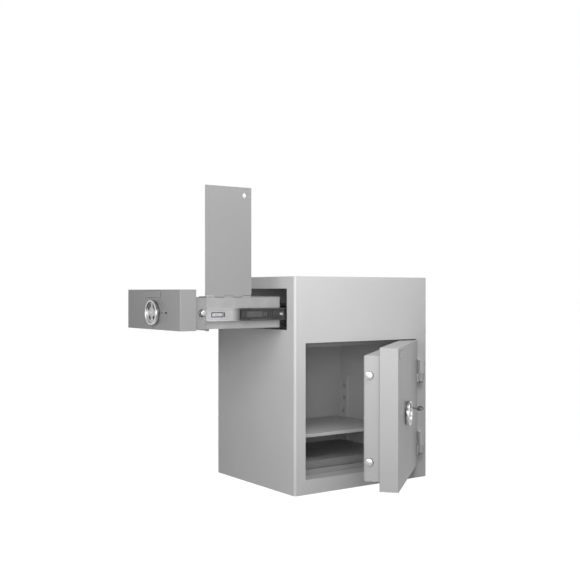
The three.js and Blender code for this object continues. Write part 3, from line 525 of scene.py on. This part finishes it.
def turned(profile, sides=48, closed=False, start=0.0, end=360.0):
    """Form turned about its own Z from (radius, height) points; closed joins the last point to the first."""
    form = bmesh.new()
    full = end - start >= 360
    places = sides if full else sides + 1
    angles = [math.radians(start + (end - start) * step / sides) for step in range(places)]
    rings = []
    for radius, height in profile:
        if radius == 0:
            rings.append([form.verts.new((0, 0, height))] * places)
        else:
            rings.append([
                form.verts.new((radius * math.cos(angle), radius * math.sin(angle), height)) for angle in angles
            ])
    for low, high in zip(rings, rings[1:] + (rings[:1] if closed else [])):
        for step in range(sides):
            after = (step + 1) % places
            corners = list(dict.fromkeys((low[step], low[after], high[after], high[step])))
            if len(corners) > 2:
                form.faces.new(corners)
    if closed and not full:
        for side in (0, -1):
            form.faces.new([ring[side] for ring in rings])
    bmesh.ops.recalc_face_normals(form, faces=form.faces)
    return form


def plate(outlines, low, high, rounding=0.3, steps=2):
    """Flat plate between two heights with rounded edges; outlines after the first are holes in it."""
    curve = bpy.data.curves.new("outline", "CURVE")
    curve.dimensions = "2D"
    curve.fill_mode = "BOTH"
    curve.extrude = (high - low) / 2 - rounding
    curve.bevel_depth = rounding
    curve.bevel_resolution = steps
    curve.offset = -rounding
    for outline in outlines:
        spline = curve.splines.new("POLY")
        spline.points.add(len(outline) - 1)
        spline.use_cyclic_u = True
        for point, spot in zip(spline.points, outline):
            point.co = (*spot, 0, 1)
    draft = bpy.data.objects.new("outline", curve)
    mesh = bpy.data.meshes.new_from_object(draft)
    form = bmesh.new()
    form.from_mesh(mesh)
    bmesh.ops.remove_doubles(form, verts=form.verts, dist=0.0005)
    bmesh.ops.recalc_face_normals(form, faces=form.faces)
    bmesh.ops.translate(form, verts=form.verts, vec=(0, 0, (low + high) / 2))
    bpy.data.objects.remove(draft)
    bpy.data.curves.remove(curve)
    bpy.data.meshes.remove(mesh)
    return form


def moved(x=0.0, y=0.0, z=0.0):
    return Matrix.Translation((x, y, z))


class Piece:
    """A new piece of the model, gathered from forms in millimetres."""

    def __init__(self, name, *looks):
        self.name = name
        self.looks = looks
        self.form = bmesh.new()

    def add(self, form, look, at=None):
        if at is not None:
            form.transform(at)
        for face in form.faces:
            face.material_index = self.looks.index(look)
        draft = bpy.data.meshes.new("draft")
        form.to_mesh(draft)
        form.free()
        self.form.from_mesh(draft)
        bpy.data.meshes.remove(draft)

    def screw(self, radius, at=None):
        """Button-head screw with a hexagon socket, standing on its own Z = 0."""
        at = at or Matrix()
        socket = circle(0.36 * radius, 6)
        head = [
            (0.52, 0.0), (1.0, 0.0), (1.0, 0.16), (0.93, 0.34), (0.78, 0.48), (0.6, 0.55), (0.52, 0.56),
        ]
        self.add(turned([(r * radius, z * radius) for r, z in head], 32, True), "bright", at)
        top = plate([circle(0.56 * radius, 32), socket], 0.26 * radius, 0.57 * radius, 0.04 * radius)
        self.add(top, "bright", at)
        self.add(turned([(0, 0.3 * radius), (0.5 * radius, 0.28 * radius)], 24), "black", at)

    def stand(self, at, body, slot, *replaced):
        """Places the piece, shades it, and makes it ride on a body."""
        self.form.transform(at)
        mesh = bpy.data.meshes.new(self.name)
        self.form.to_mesh(mesh)
        self.form.free()
        for look in self.looks:
            mesh.materials.append(finishes[look])
        piece = bpy.data.objects.new(self.name, mesh)
        bpy.context.scene.collection.objects.link(piece)
        shade(piece)
        if replaced:
            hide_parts(*replaced)
        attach(piece, body)
        return piece


# The frame's nodes by finish: node names, then the radius of their edges in millimetres
PAINTED = {
    "cabinet_paint": {
        "cabinet_shell": 1.6, "hinge_block_lower": 1.0, "hinge_block_upper": 1.0,
        **{f"shelf_rail_{wall}_{place}": 0.4 for wall in ("left", "right") for place in ("front", "rear")},
    },
    "door_paint": {
        "door_panel": 1.0, "boltwork_frame": 1.0, "boltwork_cover": 0.5, "hinge_knuckle_lower": 0.8,
        "hinge_knuckle_upper": 0.8, "door_lock_escutcheon": 0.6, "door_name_plate_blank": 0.4,
    },
    "drawer_paint": {
        "drawer_front": 1.0, "drawer_lock_housing": 0.8, "drawer_lock_escutcheon": 0.6,
        "drawer_name_plate_blank": 0.4, "drawer_lid": 0.4, "lid_hinge_leaf": 0.2, "tray_rear_cover": 0.4,
    },
    "inner_paint": {
        "door_frame_lip": 0.8, "compartment_deck": 0.6, "floor_plate": 0.7,
    },
    "shelf_paint": {"shelf": 0.7},
}
METALS = {
    "dull_zinc": {"anti_fishing_baffle": 0.3, "far_slide_bracket": 0.5, "drawer_tray": 0.6, "drop_flap": 0.3},
    "zinc": {
        "door_bolt_bar": 0.5,
        **{f"shelf_hook_{wall}_{place}": 0.3 for wall in ("left", "right") for place in ("front", "rear")},
    },
    "slide_zinc": {"slide_drawer_member_near": 0.3, "slide_drawer_member_far": 0.3},
    "chrome": {"door_bolt_lower": 1.2, "door_bolt_upper": 1.2, "drawer_bolt_near": 1.0, "drawer_bolt_far": 1.0},
    "dark_steel": {
        "anchor_plug_left": 0.8, "anchor_plug_right": 0.8, "hinge_pin_lower": 0.6, "hinge_pin_upper": 0.6,
        "door_handle_spindle": 0.5, "drawer_handle_spindle": 0.5, "drop_flap_rod": 0.2,
        "lid_hinge_pin": 0.2, "door_lock_case": 1.0, "hinge_side_dog_lower": 1.2, "hinge_side_dog_upper": 1.2,
        # The slides' middle and cabinet members take dark steel as painted shade deep in the channels
        "slide_middle_member_near": 0.3, "slide_middle_member_far": 0.3,
        "slide_cabinet_member_near": 0.3, "slide_cabinet_member_far": 0.3,
    },
    "plate": {"door_head_strip": 0.5},
}


class SAFE_OT_finishes(bpy.types.Operator):
    """Makes every finish from the colours in the panel"""

    bl_idname = "safe.finishes"
    bl_label = "Finishes"

    def execute(self, context):
        look = context.scene.safe_finish
        rough = look.paint_roughness
        for part, colour in (
            ("cabinet", look.cabinet_colour), ("door", look.door_colour), ("inner", look.inner_colour),
            ("drawer", look.drawer_colour), ("shelf", look.shelf_colour),
        ):
            finishes[f"{part}_paint"] = powder_coat(f"{part} powder coat", colour, rough)
            finishes[f"{part}_edge"] = powder_coat(f"{part} edge coat", colour, rough, True)
        # The slide sheet carries a painted shade along part of its length
        finishes["slide_zinc"] = rolled_sheet(
            "slide zinc with painted shade", (0.52, 0.51, 0.52), 0.3, 0.95, shade_span=(-428, -402),
        )
        finishes["zinc"] = rolled_sheet("zinc plated sheet", (0.50, 0.495, 0.50), 0.34, 0.95)
        finishes["dull_zinc"] = rolled_sheet("dull zinc plated sheet", (0.34, 0.34, 0.34), 0.5, 0.35)
        finishes["chrome"] = turned_chrome("turned chrome", (0.40, 0.40, 0.405), 0.34)
        finishes["bright"] = turned_chrome("polished bright metal", (0.58, 0.58, 0.585), 0.3)
        finishes["handle_rim"] = cast_metal("polished handle rim", (0.56, 0.555, 0.555), 0.3)
        finishes["handle_metal"] = cast_metal("satin cast handle", (0.47, 0.46, 0.46), 0.4)
        finishes["dark_steel"] = dark_metal("dark phosphated steel", (0.16, 0.16, 0.165), 0.42)
        finishes["key_steel"] = dark_metal("worn key steel", (0.14, 0.14, 0.14), 0.36)
        finishes["black"] = moulded_plastic("black moulded plastic", (0.025, 0.025, 0.026), 0.5)
        # Ribbed band whose dark colour is a painted dark reflection and painted shade on the ring handles' upper
        # half
        finishes["painted_reflection_and_shade"] = moulded_plastic("ribbed band of painted reflection and shade", (0.07, 0.07, 0.071), 0.38)
        finishes["liner"] = moulded_plastic("grey ball cage", (0.07, 0.07, 0.07), 0.5)
        finishes["plate"] = brushed_plate("brushed blank plate", look.plate_colour, 0.32)
        smooth_group()
        return {"FINISHED"}


class SAFE_OT_sheet_metal(bpy.types.Operator):
    """Rounds and paints the frame's own painted nodes"""

    bl_idname = "safe.sheet_metal"
    bl_label = "Painted sheet metal"

    def execute(self, context):
        for finish, group in PAINTED.items():
            edge = finish.replace("paint", "edge")
            for node, radius in group.items():
                give(soften(node, radius * MM, 3, 1), finish, edge)
        return {"FINISHED"}


class SAFE_OT_hardware(bpy.types.Operator):
    """Rounds and finishes the frame's own bare metal nodes"""

    bl_idname = "safe.hardware"
    bl_label = "Bare metal hardware"

    def execute(self, context):
        for finish, group in METALS.items():
            for node, radius in group.items():
                give(soften(node, radius * MM), finish)
        return {"FINISHED"}


class SAFE_OT_ring_handles(bpy.types.Operator):
    """Builds the ring handles of the door and the drawer"""

    bl_idname = "safe.ring_handles"
    bl_label = "Ring handles"

    def execute(self, context):
        sizes = context.scene.safe_fittings
        radius, depth, rim = sizes.ring_radius / MM, sizes.ring_depth / MM, sizes.ring_rim / MM
        # The rear of the ring stands this far off the panel: less on the door than on the drawer
        for name, joint, out, body, rear in (
            ("door", "door_handle_turn", DOOR_OUT, "door_handle", 3.2),
            ("drawer", "drawer_handle_turn", (-1, 0, 0), "drawer_handle", 5.6),
        ):
            reach = rear + depth
            web_front = reach - 4.8
            ring = Piece(
                f"{name}_ring_handle", "handle_rim", "handle_metal", "painted_reflection_and_shade", "dark_steel", "bright", "black",
            )
            inner = radius - rim
            section = [
                (inner, rear), (radius - 0.8, rear), (radius, rear + 0.8), (radius, reach - 2.2),
                (radius - 0.5, reach - 0.9), (radius - 1.5, reach - 0.15), (radius - 2.6, reach),
                (inner + 0.9, reach - 0.3), (inner + 0.2, reach - 1.0), (inner, reach - 2.0),
            ]
            ring.add(turned(section, 72, True), "handle_rim")
            # Dark ribbed band let into the upper half of the ring, inside and outside, with three grooves: its
            # colour is a painted dark reflection on the outer wall and painted shade on the inner wall
            inner_shade_band = [
                (inner - 0.3, web_front), (inner + 1.0, web_front),
                (inner + 1.0, reach - 1.6), (inner - 0.3, reach - 1.9),
            ]
            ring.add(turned(inner_shade_band, 40, True, 24, 156), "painted_reflection_and_shade")
            outer_reflection_band = [(radius - 1.5, rear + 0.6), (radius + 0.25, rear + 0.6)]
            for groove in (1, 2, 3):
                height = rear + 0.6 + groove * 1.9
                outer_reflection_band += [
                    (radius + 0.25, height - 0.55), (radius - 0.45, height - 0.2),
                    (radius - 0.45, height + 0.2), (radius + 0.25, height + 0.55),
                ]
            outer_reflection_band += [(radius + 0.25, reach - 2.0), (radius - 1.5, reach - 2.0)]
            ring.add(turned(outer_reflection_band, 40, True, 16, 164), "painted_reflection_and_shade")
            # Polished finger studs at both sides of the ring
            stud = [(0, 1.5), (2.2, 1.4), (4.2, 1.0), (5.6, 0.3), (6.0, -0.6), (6.0, -2.5)]
            for side in (0, math.pi):
                lie = Matrix.Rotation(side, 4, "Z") @ moved(radius - 0.6, 0, (rear + reach) / 2 - 0.2)
                lie = lie @ Matrix.Rotation(math.pi / 2, 4, "Y") @ Matrix.Diagonal((0.78, 1.2, 1, 1))
                ring.add(turned(stud, 32), "bright", lie)
            # Dished web with two large windows above and two small ones below
            windows = [
                ring_window(0.47 * radius, 0.78 * radius, 14, 81, 2.5),
                ring_window(0.47 * radius, 0.78 * radius, 99, 166, 2.5),
                ring_window(0.42 * radius, 0.66 * radius, 208, 254, 2.2),
                ring_window(0.42 * radius, 0.66 * radius, 286, 332, 2.2),
            ]
            web = plate([circle(inner + 0.4, 72), *windows], web_front - 3.6, web_front, 0.7, 3)
            ring.add(web, "handle_metal")
            hub = [
                (0, web_front + 2.4), (4.8, web_front + 2.4), (6.4, web_front + 2.2), (8.6, web_front + 1.3),
                (10.6, web_front + 0.3), (12.0, web_front - 0.2), (12.0, web_front - 2),
            ]
            ring.add(turned(hub, 40), "handle_metal")
            ring.screw(3.2, moved(0, 0, web_front + 2.0))
            neck = [
                (13.2, 0.1), (13.2, 1.0), (12.6, 1.5), (12.0, 1.9), (11.6, 2.6), (11.6, web_front - 3.0),
            ]
            ring.add(turned(neck, 48), "dark_steel")
            ring.stand(facing(joint_place(joint), out), body, "handle_metal", f"{name}_handle")
        return {"FINISHED"}


class SAFE_OT_lock_fittings(bpy.types.Operator):
    """Builds the key, the keyholes and their small rivets"""

    bl_idname = "safe.lock_fittings"
    bl_label = "Key and keyholes"

    def execute(self, context):
        turn = context.scene.safe_fittings.key_turn
        key = Piece("door_lock_key", "key_steel", "black")
        shank = [
            (0, -27.5), (1.6, -27.5), (2.3, -26.8), (2.3, -3.0), (2.3, 12.6), (3.4, 13.0),
            (3.7, 13.6), (3.7, 14.8), (3.2, 15.4), (2.6, 15.8), (2.3, 17.4), (0, 18.0),
        ]
        key.add(turned(shank, 28), "key_steel")
        # Bow, a rounded plate with a hole, built level and then turned about the shank
        bow = []
        for step in range(48):
            angle = TURN * step / 48
            narrowing = 1 - 0.12 * math.sin(angle)
            bow.append((9.6 * math.cos(angle) * narrowing, 25.8 + 9.8 * math.sin(angle)))
        hole = rectangle(9.0, 5.6, 2.7, 0, 29.2)
        stand_up = Matrix.Rotation(turn, 4, "Z") @ Matrix.Rotation(math.pi / 2, 4, "X")
        key.add(plate([bow, hole], -1.4, 1.4, 0.7, 3), "key_steel", stand_up)
        for step in range(4):
            tooth = plate([rectangle(2.4, 3.2, 0.4, 3.0, 0)], -0.9, 0.9, 0.3)
            key.add(tooth, "key_steel", moved(0, 0, -24.0 + step * 4.2) @ stand_up)
        key.stand(facing(joint_place("door_key_turn"), DOOR_OUT), "door_key", "dark_steel", "door_key")

        # The drawer's keyhole lies level on a flat painted disc, with a small pin at its left
        low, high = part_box("drawer_lock_escutcheon")
        lock = Vector((high[0], (low[1] + high[1]) / 2, (low[2] + high[2]) / 2))
        keyhole = Piece("drawer_keyhole", "black", "key_steel", "drawer_paint")
        keyhole.add(plate([circle(12.5, 64), rectangle(12.4, 5.8, 2.7)], 0.0, 0.45, 0.2), "drawer_paint")
        # A black plate in the keyhole's slot: painted shade of the hole's depth
        keyhole.add(plate([rectangle(12.6, 6.0, 2.8)], 0.02, 0.3, 0.1), "black")
        pin = [(0, 0.8), (1.6, 0.65), (2.5, 0.3), (2.8, -0.1)]
        keyhole.add(turned(pin, 20), "key_steel", moved(-23, 0, 0))
        keyhole.stand(facing(lock, (-1, 0, 0)), "drawer", "door_paint", "drawer_lock_escutcheon")

        ring = Piece("door_keyhole_ring", "dark_steel")
        collar = [(3.0, 0.1), (5.6, 0.1), (5.6, 0.5), (5.0, 0.9), (3.6, 0.9), (3.0, 0.5)]
        ring.add(turned(collar, 32, True), "dark_steel")
        ring.stand(facing(joint_place("door_key_turn") + DOOR_OUT * 2.8 * MM, DOOR_OUT), "door", "dark_steel")
        return {"FINISHED"}


class SAFE_OT_plates(bpy.types.Operator):
    """Builds the rivets of the blank name plates, and a black sheet behind each plate that paints a shadow gap
    round it
    """

    bl_idname = "safe.name_plates"
    bl_label = "Blank name plates"

    def execute(self, context):
        rivet = [(0, 0.8), (0.9, 0.68), (1.5, 0.3), (1.75, 0)]
        low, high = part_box("drawer_name_plate_blank")
        middle = Vector((low[0], (low[1] + high[1]) / 2, (low[2] + high[2]) / 2))
        width, height = (high[1] - low[1]) / MM, (high[2] - low[2]) / MM
        plates = Piece("drawer_name_plate_rivets", "drawer_paint", "black")
        # A black sheet just behind the plate: painted shadow round its edges
        plates.add(plate([rectangle(width + 1.2, height + 1.2, 1.0)], -1.72, -1.38, 0.1), "black")
        for side in (-1, 1):
            plates.add(turned(rivet, 20), "drawer_paint", moved(side * (width / 2 - 4)))
        plates.stand(facing(middle, (-1, 0, 0)), "drawer", "plate")

        x, z = DOOR_PLATE
        plates = Piece("door_name_plate_rivets", "bright", "black")
        # A black sheet just behind the plate: painted shadow round its edges
        plates.add(plate([rectangle(67.0, 20.0, 1.2)], -1.72, -1.38, 0.1), "black")
        for side in (-1, 1):
            for level in (-1, 1):
                plates.add(turned(rivet, 20), "bright", moved(side * 9 - 14, level * 6.2))
        plates.stand(facing(door_point(x, DOOR_FRONT - 1.8, z), DOOR_OUT), "door", "plate")
        return {"FINISHED"}


class SAFE_OT_slide_details(bpy.types.Operator):
    """Builds the cages, stops and screws of both telescopic slides"""

    bl_idname = "safe.slide_details"
    bl_label = "Slide details"

    def execute(self, context):
        screw = context.scene.safe_fittings.screw_radius / MM

        # Places along the slide, as X of the part in millimetres
        tongue_middle, mark = -474.5, -452.0
        tongue_screws = (-482.5, -466.5)
        front, rear = -400.0, -262.0
        stop_block, roller, tab = -357.0, -285.0, -266.0
        for side, out, name in ((1, -1, "near"), (-1, 1, "far")):
            low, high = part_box(f"slide_drawer_member_{name}")
            tray_side = (high[1] if side > 0 else low[1]) / MM + side * 0.3
            at = facing(Vector((0, tray_side, (low[2] + high[2]) / 2 / MM)) * MM, (0, out, 0))

            # Bright tongue and screws in the slot of the member on the drawer, with a black sheet under the
            # tongue that paints the shade of the gap round it
            tongue = Piece(f"slide_screws_{name}", "bright", "black", "zinc")
            middle = side * tongue_middle
            tongue.add(plate([rectangle(38.0, 14.0, 2.0, middle)], 1.78, 2.1, 0.1), "black")
            tongue.add(plate([rectangle(33.0, 9.4, 2.4, middle)], 1.9, 2.6, 0.25), "zinc")
            for x in tongue_screws:
                tongue.screw(2.6, moved(side * x, 0, 2.5))
            tongue.add(plate([rectangle(3.0, 13.0, 0.8, side * mark)], 1.7, 2.3, 0.2), "black")
            tongue.stand(at, "drawer", "zinc")

            # Ball cage and stop block of the middle member
            cage = Piece(f"slide_cage_{name}", "liner", "black", "dark_steel", "bright", "zinc")
            windows = [
                rectangle(3.2, 3.2, 1.0, side * x, level * 10.4) for x in (-395, -389) for level in (-1, 1)
            ]
            cage.add(
                plate([rectangle(rear - front, 26.6, 2.0, side * (front + rear) / 2), *windows], 4.1, 5.3, 0.3),
                "black",
            )
            cage.add(plate([rectangle(54.0, 19.0, 6.5, side * stop_block)], 5.1, 6.3, 0.45, 3), "black")
            cage.add(plate([rectangle(50.6, 15.4, 5.0, side * stop_block)], 5.6, 6.55, 0.35, 3), "liner")
            for x in (-325.5, -318.5):
                cage.add(plate([rectangle(2.2, 11.0, 0.8, side * x)], 5.1, 6.6, 0.3), "dark_steel")
            for x in (-311.0, -305.5, -300.0):
                cage.add(plate([rectangle(1.6, 18.0, 0.6, side * x)], 5.1, 6.2, 0.3), "black")
            cage.add(
                turned([(0, 9.0), (3.0, 9.0), (3.4, 8.4), (8.6, 8.4), (9.6, 7.6), (9.9, 6.2), (9.9, 5.0)], 40),
                "black", moved(side * roller),
            )
            cage.add(plate([rectangle(20.0, 25.0, 3.0, side * roller)], 4.9, 7.2, 0.5), "black")
            cage.add(plate([rectangle(12.0, 7.4, 1.6, side * tab)], 5.2, 6.4, 0.4), "zinc")
            cage.screw(0.7 * screw, moved(side * tab, 0, 6.3))
            cage.stand(at, f"slide_middle_{name}", "dark_steel")
        return {"FINISHED"}


class SAFE_OT_bolt_ends(bpy.types.Operator):
    """Builds the turned ends of the bolts and a dark ring round each, which paints the shade of the gap between
    the bolt and its hole
    """

    bl_idname = "safe.bolt_ends"
    bl_label = "Bolt ends"

    def execute(self, context):
        def end_face(radius):
            return turned([
                (radius - 1.4, -0.3), (radius - 1.4, 0.05), (0.8 * radius, 0.35), (0.7 * radius, 0.65),
                (0.55 * radius, 0.95), (0.38 * radius, 1.2), (0.2 * radius, 1.35), (0, 1.4),
            ], 40)

        # A flat dark ring round the bolt: painted shade of the gap between the bolt and its hole
        def gap_shade_ring(inner, outer):
            return turned([(inner, 0), (outer, 0), (outer, 0.25), (outer - 0.3, 0.45), (inner, 0.45)], 48, True)

        door_bolt_radius, drawer_bolt_radius = 11.0, 8.0
        for name, z in (("lower", 117.0), ("upper", 351.0)):
            end = Piece(f"door_bolt_end_{name}", "chrome")
            end.add(end_face(door_bolt_radius), "chrome")
            end.stand(facing(door_point(BOX_LEFT - 5.0, DOOR_BOLT_Y, z), -DOOR_RIGHT), "door_bolts", "chrome")
            ring = Piece(f"door_bolt_gap_shade_{name}", "dark_steel")
            ring.add(gap_shade_ring(door_bolt_radius + 0.5, door_bolt_radius + 1.3), "dark_steel")
            ring.stand(facing(door_point(BOX_LEFT, DOOR_BOLT_Y, z), -DOOR_RIGHT), "door", "dark_steel")
        for name, out in (("near", -1), ("far", 1)):
            low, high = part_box(f"drawer_bolt_{name}")
            tip = low[1] if out < 0 else high[1]
            x, z = low[0] + drawer_bolt_radius * MM, (low[2] + high[2]) / 2
            end = Piece(f"drawer_bolt_end_{name}", "bright")
            end.add(end_face(drawer_bolt_radius), "bright")
            end.stand(facing(Vector((x, tip, z)), (0, out, 0)), f"drawer_bolt_{name}", "chrome")
            low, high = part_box("drawer_lock_housing")
            wall = low[1] if out < 0 else high[1]
            ring = Piece(f"drawer_bolt_gap_shade_{name}", "black")
            ring.add(gap_shade_ring(drawer_bolt_radius + 0.7, drawer_bolt_radius + 2.4), "black")
            ring.stand(facing(Vector((x, wall, z)), (0, out, 0)), "drawer", "dark_steel")
        return {"FINISHED"}


class SAFE_OT_small_hardware(bpy.types.Operator):
    """Builds the screws of the bolt box's cover and the lips of the shelf rails"""

    bl_idname = "safe.small_hardware"
    bl_label = "Screws and rail lips"

    def execute(self, context):
        screw = context.scene.safe_fittings.screw_radius / MM
        cover = Piece("boltwork_cover_screws", "bright", "black")
        origin = facing(door_point(0, COVER_BACK, 0), -DOOR_OUT)
        inset = 13.0
        for x in (BOX_LEFT + inset, BOX_RIGHT - inset):
            for z in (79.0, 235.0, 391.0):
                cover.screw(screw, moved(-x, z))
        cover.stand(origin, "door", "zinc")

        # Each rail slot has a lip bent out at its head, but for the one that holds the shelf's hook; the lips
        # take the shelf's lighter grey, which paints light on them
        lip = [(-5.0, 0.0), (5.0, 0.0), (5.0, 5.5), (4.0, 6.5), (-4.0, 6.5), (-5.0, 5.5)]
        first_slot, slot_pitch, slots, hook_row = 258, 42, 5, 3
        lean = Matrix.Rotation(math.radians(28), 4, "X")
        for wall, side in (("left", 1), ("right", -1)):
            for place in ("front", "rear"):
                low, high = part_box(f"shelf_rail_{wall}_{place}")
                face = high[0] if side > 0 else low[0]
                lips = Piece(f"shelf_rail_lips_{wall}_{place}", "shelf_paint")
                for row in range(slots):
                    if row == hook_row:
                        continue
                    level = first_slot - slot_pitch * row + 1.0
                    tongue = plate([softened(lip, 0.8)], -0.5, 0.5, 0.25)
                    lips.add(tongue, "shelf_paint", moved(0, level, -1.0) @ lean)
                at = facing(Vector((face, (low[1] + high[1]) / 2, 0)), (side, 0, 0))
                lips.stand(at, "cabinet", "inner_paint")
        return {"FINISHED"}


class SAFE_OT_stage(bpy.types.Operator):
    """Sets the floor, the lights and the camera of the photograph"""

    bl_idname = "safe.stage"
    bl_label = "Studio and camera"

    def execute(self, context):
        look = context.scene.safe_stage
        scene = context.scene

        floor_mesh = bpy.data.meshes.new("studio_floor")
        floor_form = bmesh.new()
        bmesh.ops.create_grid(floor_form, x_segments=1, y_segments=1, size=30)
        floor_form.to_mesh(floor_mesh)
        floor_form.free()
        floor = bpy.data.objects.new("studio_floor", floor_mesh)
        scene.collection.objects.link(floor)
        floor.location.z = -0.0005
        shader = Shader(bpy.data.materials.new("pale floor"))
        seen = shader.seen_directly()
        glow = shader.node("ShaderNodeEmission", None, {"Color": (1, 1, 1, 1), "Strength": seen})
        matt = shader.node("ShaderNodeBsdfDiffuse", None, {"Color": (*look.floor_colour, 1)})
        both = shader.node("ShaderNodeAddShader", None, {0: matt.out(), 1: glow.out()})
        shader.node("ShaderNodeOutputMaterial", None, {"Surface": both.out()})
        floor_mesh.materials.append(shader.owner)

        world = bpy.data.worlds.new("plain studio")
        scene.world = world
        shader = Shader(world)
        strength = shader.seen_directly() * (1 - look.sky_strength) + look.sky_strength
        sky = shader.node("ShaderNodeBackground", None, {"Color": (1, 1, 1, 1), "Strength": strength})
        shader.node("ShaderNodeOutputWorld", None, {"Surface": sky.out()})

        def soft_light(name, power, size, place, target):
            light = bpy.data.lights.new(name, "AREA")
            light.shape = "RECTANGLE"
            light.size, light.size_y = size
            light.energy = power
            lamp = bpy.data.objects.new(name, light)
            scene.collection.objects.link(lamp)
            lamp.location = place
            lamp.rotation_euler = (Vector(target) - Vector(place)).to_track_quat("-Z", "Y").to_euler()

        centre = (0.0, -0.2, 0.35)
        soft_light("key light", look.key_power, (0.9, 0.8), (-1.06, -1.35, 0.55), centre)
        soft_light("side light", look.side_power, (0.7, 0.6), (-1.5, -0.6, 0.9), (-0.1, 0.0, 0.35))
        soft_light("head light", look.head_power, (0.7, 0.5), (-0.1, -0.95, 1.35), (0.0, -0.2, 0.4))
        soft_light("fill light", look.fill_power, (0.9, 0.9), (1.5, -1.5, 0.9), centre)

        lens = bpy.data.cameras.new("photograph")
        lens.sensor_width = SENSOR_WIDTH
        lens.lens = LENS_PIXELS / PICTURE_WIDTH * SENSOR_WIDTH
        lens.shift_y = HORIZON_SHIFT / PICTURE_WIDTH
        lens.clip_start = 0.05
        camera = bpy.data.objects.new("photograph", lens)
        scene.collection.objects.link(camera)
        camera.location = CAMERA_PLACE
        camera.rotation_euler = Vector(CAMERA_AIM).to_track_quat("-Z", "Y").to_euler()
        scene.camera = camera
        scene.view_settings.view_transform = "Standard"
        return {"FINISHED"}


class SAFE_PT_panel(bpy.types.Panel):
    bl_idname = "SAFE_PT_panel"
    bl_label = "Drop safe"
    bl_space_type = "VIEW_3D"
    bl_region_type = "UI"
    bl_category = "Drop safe"

    def draw(self, context):
        scene = context.scene
        for group in (scene.safe_finish, scene.safe_fittings, scene.safe_stage):
            box = self.layout.box()
            for name in group.bl_rna.properties.keys():
                if name not in ("rna_type", "name"):
                    box.prop(group, name)
        for operator in OPERATORS:
            self.layout.operator(operator.bl_idname)


GROUPS = (SAFE_PG_finish, SAFE_PG_fittings, SAFE_PG_stage)
OPERATORS = (
    SAFE_OT_finishes, SAFE_OT_sheet_metal, SAFE_OT_hardware, SAFE_OT_ring_handles, SAFE_OT_lock_fittings,
    SAFE_OT_plates, SAFE_OT_slide_details, SAFE_OT_bolt_ends, SAFE_OT_small_hardware, SAFE_OT_stage,
)


def register():
    for made in (*GROUPS, *OPERATORS, SAFE_PT_panel):
        bpy.utils.register_class(made)
    bpy.types.Scene.safe_finish = bpy.props.PointerProperty(type=SAFE_PG_finish)
    bpy.types.Scene.safe_fittings = bpy.props.PointerProperty(type=SAFE_PG_fittings)
    bpy.types.Scene.safe_stage = bpy.props.PointerProperty(type=SAFE_PG_stage)


def unregister():
    del bpy.types.Scene.safe_finish, bpy.types.Scene.safe_fittings, bpy.types.Scene.safe_stage
    for made in reversed((*GROUPS, *OPERATORS, SAFE_PT_panel)):
        bpy.utils.unregister_class(made)


def main():
    register()
    bpy.ops.safe.finishes()
    bpy.ops.safe.sheet_metal()
    bpy.ops.safe.hardware()
    bpy.ops.safe.ring_handles()
    bpy.ops.safe.lock_fittings()
    bpy.ops.safe.name_plates()
    bpy.ops.safe.slide_details()
    bpy.ops.safe.bolt_ends()
    bpy.ops.safe.small_hardware()
    bpy.ops.safe.stage()


if __name__ == "__main__":
    main()
